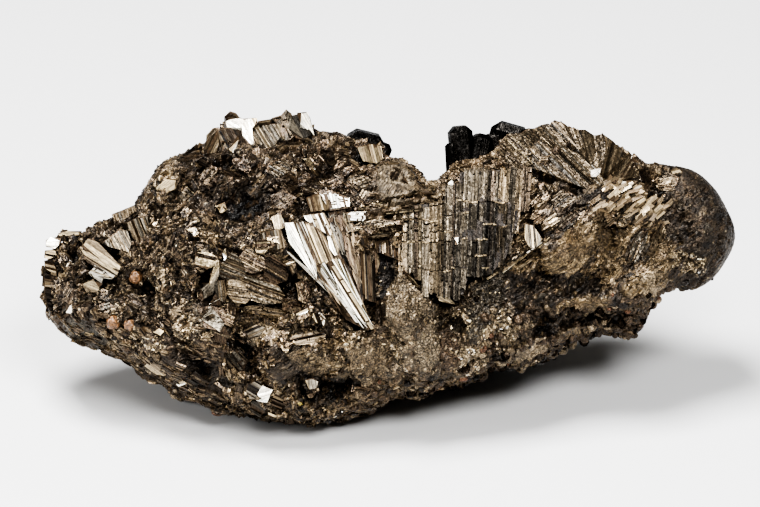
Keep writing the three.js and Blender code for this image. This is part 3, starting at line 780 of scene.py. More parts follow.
FAN = [
    ([(-21, 8.5), (-15.5, 10.5), (-8.6, 12), (-7.5, 9), (-5.7, 4), (-5.4, -7), (-3.6, -11.8), (-8.4, -9.4),
     (-13.5, -3.6), (-18.5, 3)], 118, [(BRONZE, 2), (TAN, 1), (SLATE, 2), (BROWN, 2), (DARK, 2)],
     dict(pitch=0.36, lift=-0.3, step=0.3, spread=0.3, dark=0.3, breaks=3)),
    ([(-22.8, 10), (-20.4, 10.2), (-17.8, 4.2), (-15.3, -2.4), (-21.4, 6.4), (-21, 7.2), (-22, 8.8)], 120,
     WHITE, dict(pitch=0.9, lift=1.0, step=0.15, slope=(0.1, 0.05), spread=0.06, dark=0, gap=0.1, roll=0.15,
     ragged=0.03)),
    ([(-20.2, 10.2), (-18.2, 10.3), (-17.4, 8.6), (-15.3, 0.4), (-15.4, -1.6), (-17.4, 4)], 115, WHITE,
     dict(lift=1.0, step=0.3, slope=(0.05, 0.05), spread=0.15, dark=0.35, gap=0.14, breaks=5, ragged=0.03)),
    ([(-22, 3.9), (-21, 4), (-6.9, -9.1), (-7.7, -9.8)], 137, WHITE, dict(pitch=0.4, lift=0.9, step=0.1,
     spread=0.1, dark=0, roll=0.1, ragged=0.03)),
    ([(-19.1, 1.7), (-17.8, 1.7), (-7.8, -8.2), (-8.7, -8.9)], 136, STRIPED, dict(pitch=0.35, lift=0.4,
     step=0.2, ragged=0.03)),
    ([(-17.8, 10.4), (-15.2, 9.1), (-12.4, 4.3), (-11.1, 1.7), (-13.9, 0.9), (-15.6, 1.7)], 113, [(TAN, 3),
     (BEIGE, 2), (BROWN, 2)], dict(pitch=0.38, lift=0.4, spread=0.4, dark=0.35)),
    ([(-18, 11.8), (-13.8, 12.4), (-13, 11.1), (-11.5, 8.6), (-12.6, 7.4), (-15.2, 9.1), (-17.4, 10.6)], 114,
     [(WHITE, 4), (BEIGE, 1)], dict(pitch=0.55, lift=1.1, step=0.25, spread=0.12, dark=0.12, breaks=3,
     gap=0.1, ragged=0.03)),
    ([(-13.4, 9.6), (-12, 9.6), (-10.6, 5), (-10.4, 3.2), (-11.5, 2.8), (-12.6, 5)], 111, [(WHITE, 2),
     (BEIGE, 1)], dict(pitch=0.45, lift=0.9, step=0.25, spread=0.15, gap=0.1)),
    ([(-15.2, 1.1), (-13.6, 1.4), (-10, -5), (-4.4, -12.9), (-9.1, -10.5), (-11.7, -6.5), (-14.3, -2.4)], 125,
     [(WHITE, 5), (GREY, 1), (BROWN, 0.7)], dict(lift=0.9, step=0.35, spread=0.18, dark=0.25, breaks=4,
     gap=0.16)),
    ([(-13, 1.6), (-11, 2.2), (-8, -4.2), (-3, -12.2), (-4.4, -12.7), (-9.6, -6)], 122, [(WHITE, 6),
     (BEIGE, 1)], dict(pitch=0.55, lift=1.3, step=0.3, spread=0.12, dark=0.2, breaks=5, gap=0.16)),
    ([(-10.6, 2.2), (-9.5, 2.4), (-7, -3.7), (-5.6, -6.9), (-5.2, -8.8), (-7.6, -4.6)], 112, [(WHITE, 3),
     (BEIGE, 3), (DARK, 1)], dict(pitch=0.45, lift=1.0, step=0.35, dark=0.2, breaks=4)),
    ([(-17.6, 15.6), (-14.8, 16.7), (-13, 16.1), (-12.6, 12.8), (-16.5, 12.4)], 104, BLADES, dict(pitch=0.4,
     lift=0.5, spread=0.4)),
    ([(-14.5, 16.5), (-11.7, 16.9), (-8.5, 15.6), (-8.2, 13.4), (-12.4, 12.8)], 104, SILVERY, dict(lift=0.8,
     step=0.35, dark=0.25, breaks=1.6, ragged=0.15)),
    ([(-9.1, 12.4), (-4.6, 12.6), (-4.1, 10.6), (-8.7, 10.4)], 176, [(WHITE, 3), (BEIGE, 2)], dict(lift=0.5,
     step=0.25, dark=0.25, breaks=2, ragged=0.2)),
    ([(-13, 12.6), (-9.3, 13), (-7.8, 10.4), (-8.7, 2.6), (-10.4, 3.9), (-11.9, 8.7)], 103, [(SLATE, 3),
     (GREY, 2), (BROWN, 2), (BEIGE, 0.4)], dict(pitch=0.36, spread=0.4, dark=0.4, ragged=0.15, breaks=3)),
    ([(-9.8, 10.4), (-7.6, 10), (-5.6, 5.6), (-6.1, -4.8), (-8.2, 0.4), (-9.1, 4.3)], 100, [(TAN, 2),
     (BRONZE, 2), (BROWN, 3), (BEIGE, 0.5)], dict(pitch=0.4, spread=0.4, dark=0.4, ragged=0.25, breaks=3)),
    ([(-6.1, 5.2), (-2.2, 5.6), (-1.7, 1.7), (-3, -2.2), (-2.6, -6.9), (-5.6, -6.1)], 93, [(BROWN, 3),
     (DARK, 2), (TAN, 1)], dict(pitch=0.38, step=0.5, spread=0.4, dark=0.4, ragged=0.15)),
]

# The block of upright columns: its outline on the face.
BLOCK = [
    (2.2, 11.3), (3.3, 14.3), (10, 14.8), (12.6, 16), (12.8, 19), (15.3, 19.4), (15.5, 22), (30.6, 22.8),
    (30.2, 15.2), (28.9, 10.4), (26, 2.2), (22.6, -1.4), (17.8, -0.6), (16.1, -6.3), (8, -5), (6.7, -1.6),
    (2.2, -0.4),
]
# Its ledges: height up the face, lowest and highest u, and how much further out the columns stand below.
LEDGES = [
    (14.9, 14.6, 26.2, -0.9), (14.6, 2, 12.6, 0.5), (11.3, 2, 10.2, -0.3), (10, 20.8, 25.4, 0.6),
    (8.9, 9.4, 14, 0.5), (6.8, 9.4, 21.2, 0.6), (6.4, 2, 9.6, 0.5), (3.3, 17.2, 22, 0.6),
    (0.5, 6.4, 17.8, 0.5), (12.4, 12, 17, 0.3),
]
# How bright its columns are: lowest and highest u, lowest and highest v, and factor. An earlier one wins.
BRIGHTNESS = [
    (21.5, 24.6, 15, 23, 2.6), (26.5, 31, 12, 23, 2.2), (15, 31, 15, 23, 1.6), (17, 26, 0, 15, 0.4),
    (26, 31, -3, 12, 1.4), (9.4, 17, 6.8, 19.5, 1.25), (9.4, 17, -7, 6.8, 0.9), (2, 9.4, -2, 6.5, 0.95),
    (2, 12.6, 11.3, 15, 1.4),
]
CHIPPY = (2, 10.2, 6.4, 11.5)  # where the columns are broken small: lowest and highest u and v


def column_block():
    """Upright columns in bundles: each bundle has its own ledges and is cut into fine strips."""
    rng = np.random.default_rng(42)
    heap = Heap("column_block_detail", "grey_blades")
    outline = np.array(BLOCK)
    a, b, c = resting_plane(outline, "column_block")
    # The slab fills the block beneath its columns. It is near black as painted shade, so that the gaps
    # between the columns show dark like shadow.
    heap.prism(resized(outline, 0.93), lambda u, v: a + b * u + c * v - 0.9, 3.0, DARK)
    left, last = outline[:, 0].min() + 0.05, outline[:, 0].max() - 0.3
    waver = 0.0
    while left < last:
        width = min(rng.uniform(0.6, 2.1), last + 0.2 - left)
        centre = left + width / 2
        bottom, top = crossings(outline, centre)
        waver = 0.5 * waver + rng.uniform(-0.5, 0.5)
        shared = [(v + waver, out * rng.uniform(0.6, 1.2)) for v, u0, u1, out in LEDGES if u0 < centre < u1]
        highlight_caps = rng.random(len(shared)) < 0.5
        foot, head = rng.uniform(-0.9, 0.6), rng.uniform(-0.8, 0.2)
        own = tints(rng, COLUMNS, 1, 0.2, mute=0.45)[0]
        own_rise = rng.uniform(-0.4, 0.4)
        strips = max(2, round(width / rng.uniform(0.26, 0.4)))
        edges = left + width * np.sort(np.concatenate([[0, 1], rng.uniform(0.06, 0.94, strips - 1)]))
        for u0, u1 in zip(edges[:-1], edges[1:]):
            if u1 - u0 < 0.07:
                continue
            own_top, own_foot = top + head - rng.uniform(0, 0.4), bottom + foot + rng.uniform(-0.3, 0.3)
            ledges = [(v + rng.uniform(-0.12, 0.12), out, cap) for (v, out), cap in zip(shared, highlight_caps)]
            loose = rng.uniform(bottom + 0.5, top - 0.5, rng.integers(0, 3))
            ledges += [(v, rng.uniform(-0.2, 0.2), False) for v in loose]
            if CHIPPY[0] < centre < CHIPPY[1]:
                ledges += [(v, 0.0, False) for v in rng.uniform(CHIPPY[2], CHIPPY[3], 3)]
            ledges = sorted([one for one in ledges if own_foot + 0.4 < one[0] < own_top - 0.3], reverse=True)
            strip_rise = own_rise + rng.uniform(-0.18, 0.18)
            strip_shade = own * np.exp(rng.normal(0, 0.5))
            cuts = [(own_top, 0.35, False)] + ledges + [(own_foot, 0, False)]
            stand = 0.0
            for (high, out, cap), (low, _, _) in zip(cuts[:-1], cuts[1:]):
                stand += out
                if high - low < 0.12:
                    continue
                v = (low + high) / 2
                here = [f for a0, a1, v0, v1, f in BRIGHTNESS if a0 < centre < a1 and v0 < v < v1]
                factor = here[0] if here else 1.0
                seat = a + b * centre + c * v + stand + strip_rise
                tip = rng.uniform(-0.3, 0.3) * (u1 - u0) / 2
                slant = min(0.4, 0.3 * (high - low))
                upper = np.array([
                    [u0, low, seat - tip], [u1 - 0.02, low, seat + tip],
                    [u1 - 0.02, high - slant, seat + tip], [u0, high - slant, seat - tip],
                ])
                lower = upper - [0, 0, 4.0]
                lower[2:, 1] = high
                both = leaning(np.concatenate([lower, upper]))
                colour = np.clip(strip_shade * factor * rng.uniform(0.8, 1.2), 0, 0.95)
                heap.add(row(both)[None], [BOX_FACES], colour[None], both[None] + rng.uniform(0, 200))
                # Painted highlight: some ledges get a pale rim on top, where the light from above catches
                # them.
                if cap:
                    rim = np.array([[u0, high - 0.3], [u1, high - 0.3], [u1, high], [u0, high]])
                    rim = np.column_stack([rim, seat + np.array([0.1, 0.1, -0.3, -0.3])])
                    rim = leaning(np.concatenate([rim - [0, 0.2, 0.3], rim]))
                    heap.add(row(rim)[None], [BOX_FACES], tints(rng, [(BEIGE, 1), (TAN, 1)], 1), rim[None])
        left += width
    return heap


def leaning(places):
    """Lean the right of the block a little to the right."""
    lean = 0.07 * np.clip((places[:, 0] - 8) / 15, 0, 1) * (places[:, 1] - 12)
    return places + np.column_stack([lean, 0 * lean, 0 * lean])


# Thin bright ledges under the block: outline, angle and lift.
SPLINTERS = [
    ([(24.3, -0.2), (27.8, 2.2), (28, 1.7), (24.7, -0.7)], 34, 0.5),
    ([(26.9, 1.7), (30.6, 4.1), (30.8, 3.7), (27.3, 1.3)], 33, 0.7),
    ([(29.5, 3.7), (33.2, 6.3), (33.4, 5.9), (29.9, 3.3)], 35, 0.6),
    ([(28, 0.7), (31.5, 2.8), (31.7, 2.4), (28.4, 0.2)], 32, 0.4),
    ([(32.1, 5), (34.9, 7.4), (35.1, 6.9), (32.5, 4.6)], 40, 0.5),
    ([(20.8, -1.7), (23.9, 0), (24.1, -0.4), (21.3, -2.2)], 30, 0.5),
]
# Crystals at the block's edges.
EDGE = [
    ([(29.3, 10.2), (31.2, 9.8), (32.1, 8.5), (33.2, 6.7), (32.5, 5.6), (31.5, 4.6), (30.2, 4.8),
     (29.3, 6.9)], 95, [(BEIGE, 2), (SLATE, 3), (GREY, 2), (WHITE, 0.4)], dict(pitch=0.5, step=0.25,
     spread=0.3, gap=0.14)),
    ([(-3, 6.3), (2.6, 7), (3, 1.7), (0.9, 2.6), (-2.6, 3.9)], 92, [(TAN, 2), (BRONZE, 2), (BROWN, 2),
     (DARK, 1)], dict(pitch=0.34, step=0.3, dark=0.35, ragged=0.2)),
    ([(20, 0.7), (21.7, 0.9), (21.7, -0.9), (20.2, -1.1)], 90, [(BEIGE, 1)], dict(lift=1.8, pitch=1.7,
     dark=0)),
    ([(14.1, 7.2), (15, 7.4), (15, 5.4), (14.3, 5.4)], 90, [(WHITE, 1)], dict(lift=2.0, pitch=1.7, dark=0)),
    ([(12.6, 18.9), (13.9, 19.5), (14.8, 18.2), (15.6, 17.4), (13.4, 17.1)], 10, SILVERY, dict(lift=0.9,
     step=0.15)),
]
EDGE += [
    (outline, angle, [(WHITE, 0.5), (BEIGE, 2), (TAN, 1)], dict(lift=lift, pitch=0.26, step=0.1, breaks=1.2,
     dark=0))
    for outline, angle, lift in SPLINTERS
]
EDGE += [
    ([(2.8, 0), (3.5, 0), (5.6, -2), (7.4, -4.3), (6.9, -4.8), (5, -2.6)], 135, [(BEIGE, 2), (TAN, 2)],
     dict(lift=0.9, pitch=0.3, step=0.2, breaks=0.8, ragged=0.25)),
]

SHEAF = [
    ([(30.6, 25.8), (33.2, 28.2), (36.4, 26), (40.3, 22.6), (44.7, 18.7), (42.5, 17.8), (38.6, 19.3),
     (34.7, 21), (31.9, 21.9), (30.2, 23.6)], 135, SHEAVES, dict(lift=0.4, pitch=0.26)),
    ([(33.2, 28.2), (34.3, 30.4), (36.4, 29.5), (39, 26), (42.1, 22.8), (46.2, 19.1), (44.7, 18.4),
     (40.3, 22.6), (36.4, 26)], 135, [(TAN, 3), (BRONZE, 4), (GREY, 2), (BEIGE, 0.3)], dict(lift=0.7,
     pitch=0.25)),
    ([(34.3, 30.4), (35.6, 31.7), (37.7, 31.7), (39.9, 28.2), (42.5, 24.5), (45.6, 20.8), (46.2, 19.1),
     (42.1, 22.8), (39, 26), (36.4, 29.5)], 134, [(BRONZE, 4), (SLATE, 2), (TAN, 2)], dict(pitch=0.28)),
    ([(24.5, 27.8), (26, 29.3), (28.6, 29.5), (30.8, 27.5), (30.4, 25.6), (31, 23), (28.6, 22.1), (26, 22.3),
     (24.1, 24.3)], 137, [(TAN, 3), (BRONZE, 3), (BEIGE, 1.2), (BROWN, 2)], dict(lift=0.6, pitch=0.34,
     step=0.22, breaks=4)),
    ([(28.6, 29.5), (30.4, 30.6), (33, 30.6), (34.3, 29.7), (33.2, 27.8), (31.2, 26.2), (30.8, 27.5)], 137,
     [(BRONZE, 3), (TAN, 2), (BROWN, 1)], dict(pitch=0.3, breaks=3)),
    ([(37.7, 31.7), (39.3, 30.8), (41.6, 30.2), (42.5, 28.2), (41.4, 26), (42.5, 24.5), (39.9, 28.2)], 112,
     [(BRONZE, 3), (SLATE, 1), (TAN, 1)], dict(slope=(0.12, 0))),
    ([(41.6, 30.2), (42.7, 30.2), (44.7, 28.9), (44.9, 26), (43.8, 22.8), (42.5, 24.5), (41.4, 26),
     (42.5, 28.2)], 104, [(TAN, 3), (BRONZE, 3), (BEIGE, 0.6)], dict(lift=0.8, slope=(-0.15, 0))),
    ([(44.7, 28.9), (46.4, 29.3), (47.5, 26.7), (46.4, 23.4), (45.6, 20.8), (43.8, 22.8), (44.9, 26)], 96,
     [(BRONZE, 3), (TAN, 1.5), (SLATE, 0.5)], dict(slope=(0.12, 0))),
    ([(46.4, 29.3), (48.6, 27.8), (50.3, 26), (49.5, 23.2), (47.3, 21.3), (45.6, 20.8), (46.4, 23.4),
     (47.5, 26.7)], 74, [(TAN, 3), (BRONZE, 3)], dict(lift=0.7, pitch=0.45, slope=(-0.2, 0), dim=0.85)),
    ([(50.3, 26), (52.1, 24.9), (53.4, 22.6), (52.5, 20.2), (49.5, 19.5), (47.3, 21.3), (49.5, 23.2)], 58,
     [(BROWN, 1), (BRONZE, 4), (TAN, 2)], dict(lift=0.3, pitch=0.45, step=0.22, slope=(0.15, 0), dim=0.7)),
]

CREST = [
    ([(-19.7, 34.1), (-17.6, 34.3), (-16.9, 33), (-15.8, 28.6), (-16.5, 28.6), (-17.1, 29.9), (-18.9, 31.7)],
     120, WHITE, dict(pitch=1.3, lift=0.9, dark=0, spread=0.08, step=0.12, dim=1.0)),
    ([(-22.1, 33.2), (-19.7, 33.8), (-18.4, 32.1), (-16.5, 29.7), (-17.8, 28.2), (-20, 28.6), (-21.5, 31)],
     120, [(SLATE, 3), (GREY, 1)], dict(pitch=1.4, lift=0.4, step=0.15, dark=0)),
    ([(-25.2, 33), (-23.2, 33.6), (-22.1, 34.9), (-21, 33.8), (-20.8, 31.2), (-22.8, 31.2), (-24.3, 31.7)],
     118, [(TAN, 2), (BRONZE, 3), (GREY, 1)], dict(pitch=0.7, breaks=1.5)),
    ([(-29.7, 30.2), (-28.2, 31.7), (-25.6, 31.7), (-23.2, 31.7), (-23.4, 28.6), (-24.3, 27.1), (-25.4, 25.8),
     (-26.7, 26.7), (-28.6, 27.5)], 121, [(BEIGE, 1.5), (GREY, 3), (TAN, 3), (BRONZE, 1)], dict(pitch=0.3,
     lift=0.6, step=0.25)),
    ([(-23.2, 31.7), (-21.3, 31.2), (-20.4, 28.9), (-21.5, 28), (-23.2, 28.2)], 121, [(TAN, 2), (GREY, 2),
     (BROWN, 1)], dict(lift=0.7, step=0.3, breaks=1.5)),
    ([(-35.6, 32.1), (-34.1, 33), (-31.9, 32.8), (-30.4, 30.8), (-32.5, 30.8), (-34.9, 31)], 150, [(WHITE, 5),
     (BEIGE, 1)], dict(pitch=0.8, lift=0.8, dark=0, spread=0.08, dim=1.0)),
    ([(-31.9, 32.8), (-28.6, 33), (-28.2, 31.9), (-29.7, 30.2), (-28.6, 27.1), (-30.4, 27.1), (-31.5, 29.5)],
     112, [(WHITE, 5), (BEIGE, 1)], dict(pitch=0.9, lift=1.0, dark=0, spread=0.08, step=0.12, dim=1.0)),
    ([(-28.2, 32.3), (-25.2, 32.8), (-25.6, 31.7), (-27.8, 31.5)], 5, [(TAN, 2), (BEIGE, 1)], dict(lift=0.8)),
    ([(-36.9, 30.4), (-35.1, 30.8), (-32.5, 30.8), (-31.2, 29.5), (-30.6, 27.1), (-32.1, 27.1), (-33, 25.8),
     (-34.7, 25.8), (-36.4, 26.7)], 118, [(BROWN, 3), (BRONZE, 2), (TAN, 0.7), (DARK, 1)], dict(step=0.3)),
    ([(-32.5, 29.3), (-32.1, 28), (-33.2, 26.5), (-33.4, 25.2), (-34.5, 26), (-33.8, 27.1)], 62, PALE,
     dict(pitch=0.8, lift=0.9, dark=0, dim=1.0)),
    ([(-35.4, 33.4), (-34.3, 34.5), (-33, 34.1), (-31.9, 32.8), (-34.1, 33), (-35.1, 32.3)], 60, UMBER,
     dict(pitch=0.8, lift=0.2, breaks=1)),
    ([(-39.3, 29.3), (-38, 30.8), (-36.7, 31), (-36.2, 30.4), (-38, 28.6), (-39.5, 27.8)], 55, [(BEIGE, 0.5),
     (TAN, 2), (BRONZE, 2)], dict(lift=0.4)),
    ([(-39.5, 27.8), (-36.9, 30.4), (-36.4, 26.7), (-37.7, 24.7), (-39.7, 25.6)], 64, [(BROWN, 3),
     (BRONZE, 2), (TAN, 1.5)], dict(pitch=0.45, lift=0.3, step=0.3)),
]

BOOK = [
    ([(-36, 1.3), (-33.8, 3.3), (-32.1, 2.6), (-30.6, 0), (-31.2, -2.4), (-33.8, -2.2), (-36.2, -1.1)], 158,
     LEAVES, dict(lift=0.7, pitch=0.26, step=0.14)),
    ([(-31.9, 2.6), (-30.8, 4.1), (-28.4, 4.8), (-26.9, 2.8), (-26.5, 0.4), (-28.6, -0.4), (-30.6, 0)], 153,
     [(BROWN, 3), (BRONZE, 3), (SLATE, 1)], dict(lift=0.9, pitch=0.27, step=0.15)),
    ([(-26.9, 2.8), (-24.5, 4.3), (-22.6, 3), (-21.3, 0.4), (-21.9, -2), (-24.3, -2.8), (-26.9, -1.7),
     (-26.5, 0.4)], 148, [(BROWN, 4), (DARK, 1), (BRONZE, 2)], dict(lift=0.3, pitch=0.27, step=0.16)),
    ([(-30.6, -0.2), (-28.6, -0.4), (-26.9, -1.3), (-24.3, -2.8), (-22.6, -5.2), (-23.2, -6.7), (-26.5, -6.9),
     (-29.5, -5.9), (-31.5, -2.6)], 160, LEAVES, dict(lift=0.6, pitch=0.25, step=0.13, spread=0.25)),
    ([(-34.5, -2.4), (-32.3, -2.2), (-30.8, -3), (-29.5, -5.9), (-30.6, -6.9), (-33, -6.7), (-34.5, -5.2)],
     172, [(TAN, 3), (BEIGE, 1.5), (BRONZE, 2)], dict(pitch=0.27, step=0.16, breaks=3)),
    ([(-37.1, -2.4), (-35.1, -2.2), (-34.7, -5), (-35.1, -6.9), (-36.7, -6.1)], 96, [(TAN, 2), (GREY, 2),
     (BRONZE, 1)], dict(lift=0.5, step=0.3)),
    ([(-38, -0.7), (-36.7, 2.4), (-36, 1.7), (-36.4, -1.1), (-38.2, -3)], 62, [(GREY, 2), (BEIGE, 2)],
     dict(lift=0.9, pitch=0.8)),
    ([(-39.7, -3.9), (-38.2, -2.6), (-36.4, -1.1), (-36.7, -3), (-37.7, -5), (-39.5, -6.1)], 47, [(GREY, 3),
     (BEIGE, 1)], dict(lift=0.7, pitch=1.0)),
    ([(-40.8, -5.9), (-39.9, -3.9), (-39.5, -6.1), (-39.9, -6.7)], 60, WHITE, dict(lift=0.6, pitch=2,
     dark=0)),
    ([(-38.2, -7.2), (-37.1, -5.2), (-36.2, -6.1), (-36, -7.6), (-37.7, -7.8)], 100, WHITE, dict(pitch=2,
     dark=0)),
    ([(-28.6, 5.9), (-26.7, 6.5), (-24.7, 6.1), (-24.1, 5.2), (-25.6, 4.6), (-26.5, 3.5), (-28.2, 3.9)], 3,
     [(BEIGE, 3), (TAN, 2), (BROWN, 1)], dict(lift=0.9, breaks=1.6)),
    ([(-26.2, 7.4), (-23.4, 7.2), (-23.6, 5.9), (-26, 6.3)], 175, CREAM, dict(breaks=2)),
    ([(-36, 3.5), (-34.9, 4.6), (-33.8, 3.5), (-35.1, 2.4)], 140, PALE, dict(pitch=0.9, dark=0)),
    ([(-41.2, 3.9), (-38.8, 3.7), (-36.4, 3), (-37.3, 0.9), (-38.8, 0.4), (-41.6, 1.1)], 167, [(BEIGE, 3),
     (WHITE, 1.5), (BROWN, 1)], dict(lift=0.9, step=0.3)),
    ([(-19.7, -2.8), (-17.8, -2.2), (-16.7, -4.3), (-17.6, -7.2), (-19.1, -6.1)], 118, [(BROWN, 2), (TAN, 2),
     (BRONZE, 2)], dict(lift=0.6, pitch=0.6, breaks=1.5)),
    ([(-22.6, -6.1), (-19.7, -6.5), (-18.2, -7.8), (-20, -9.3), (-22.6, -8.5)], 20, [(BROWN, 3), (BRONZE, 3)],
     dict(lift=0.2, breaks=2)),
]

LEFT = [
    ([(-65.7, 5), (-64.4, 6.5), (-62.5, 5.6), (-59.9, 3), (-57.9, 0.9), (-58.6, 0), (-60.7, 1.3), (-62.9, 3),
     (-65.1, 4.3)], 146, [(TAN, 3), (BEIGE, 3)], dict(pitch=0.8, step=0.15, dark=0)),
    ([(-65.9, 4.1), (-64.2, 3.5), (-62.3, 2.2), (-60.5, 0.9), (-58.4, -0.2), (-59, -1.3), (-61.6, -0.2),
     (-63.1, 0.7), (-64.6, 1.7)], 149, [(BEIGE, 3), (TAN, 2), (BROWN, 1)], dict(step=0.25, lift=0.7)),
    ([(-64.6, -0.7), (-62.9, 0.7), (-61.2, -0.4), (-59, -1.1), (-59.7, -2), (-61.2, -1.3), (-61.6, -2.6),
     (-62.9, -2)], 160, SILVERY, dict(pitch=0.55, dark=0.1, breaks=2)),
    ([(-65.9, -3), (-63.6, -2.2), (-62.3, -3.9), (-63.1, -5.2), (-65.1, -4.6)], 160, [(BEIGE, 3), (TAN, 3)],
     dict(pitch=0.7, lift=0.6)),
    ([(-62.9, -2.4), (-61.6, -3), (-62.5, -3.9)], 140, [(TAN, 1)], dict(pitch=2, lift=0.5, dark=0)),
]

LEFT_STRIATED = [
    ([(-62, 5.9), (-59.9, 7.4), (-57.9, 9.1), (-56.2, 8.7), (-55.1, 5.9), (-55.7, 3.7), (-57.7, 4.3),
     (-59.9, 4.8)], 118, [(GREY, 2), (TAN, 2), (SLATE, 2), (BEIGE, 0.7)], {}),
    ([(-56.4, 10.4), (-54.2, 11.5), (-51.8, 11.7), (-51.4, 9.5), (-52.3, 6.9), (-53.4, 5.4), (-55.1, 6.9)],
     112, [(GREY, 2), (TAN, 2), (BEIGE, 1.5), (SLATE, 1)], dict(pitch=0.38)),
    ([(-59.7, 12.1), (-57.3, 13), (-54.7, 14.1), (-54.2, 12.6), (-56.6, 10.8), (-58.8, 10.4)], 108,
     [(BRONZE, 3), (SLATE, 2), (TAN, 1)], dict(pitch=0.5, step=0.3, lift=0.2)),
]

END = [
    ([(-74.2, 6.5), (-72.9, 7.2), (-70.7, 6.9), (-71.1, 5.2), (-72.2, 4.6), (-74.2, 5)], 3, [(BEIGE, 2),
     (WHITE, 2)], dict(pitch=0.8, lift=0.5, dark=0)),
    ([(-74.4, 4.3), (-72, 4.6), (-71.6, 3), (-73.3, 2.4), (-74.6, 2.6)], 170, [(BEIGE, 3), (TAN, 1),
     (DARK, 1)], dict(pitch=0.5, step=0.35)),
    ([(-74.6, 2.2), (-72.9, 2.4), (-71.8, 0.4), (-71.6, -3), (-72.5, -3.5), (-73.3, -0.4), (-74.4, 0.4)], 165,
     [(BEIGE, 2), (TAN, 2), (DARK, 2)], dict(pitch=0.55, step=0.45, dark=0.3)),
    ([(-71.8, 8), (-69.4, 8.5), (-66.4, 8.5), (-66.8, 7.4), (-71.1, 6.9)], 3, [(BEIGE, 3), (TAN, 2)],
     dict(pitch=0.45, step=0.25)),
    ([(-74.6, -0.4), (-73.3, -0.7), (-72, -3.9), (-71.8, -6.9), (-72.9, -10), (-74.2, -7.4), (-74.6, -3.9)],
     172, [(DARK, 3), (BROWN, 2), (TAN, 1)], dict(step=0.4, dark=0.3)),
    ([(-73.1, -10.4), (-71.6, -7.8), (-69.8, -7.4), (-68.5, -9.5), (-69.4, -11.3), (-71.6, -12.1)], 35,
     [(BROWN, 3), (SLATE, 2)], {}),
]

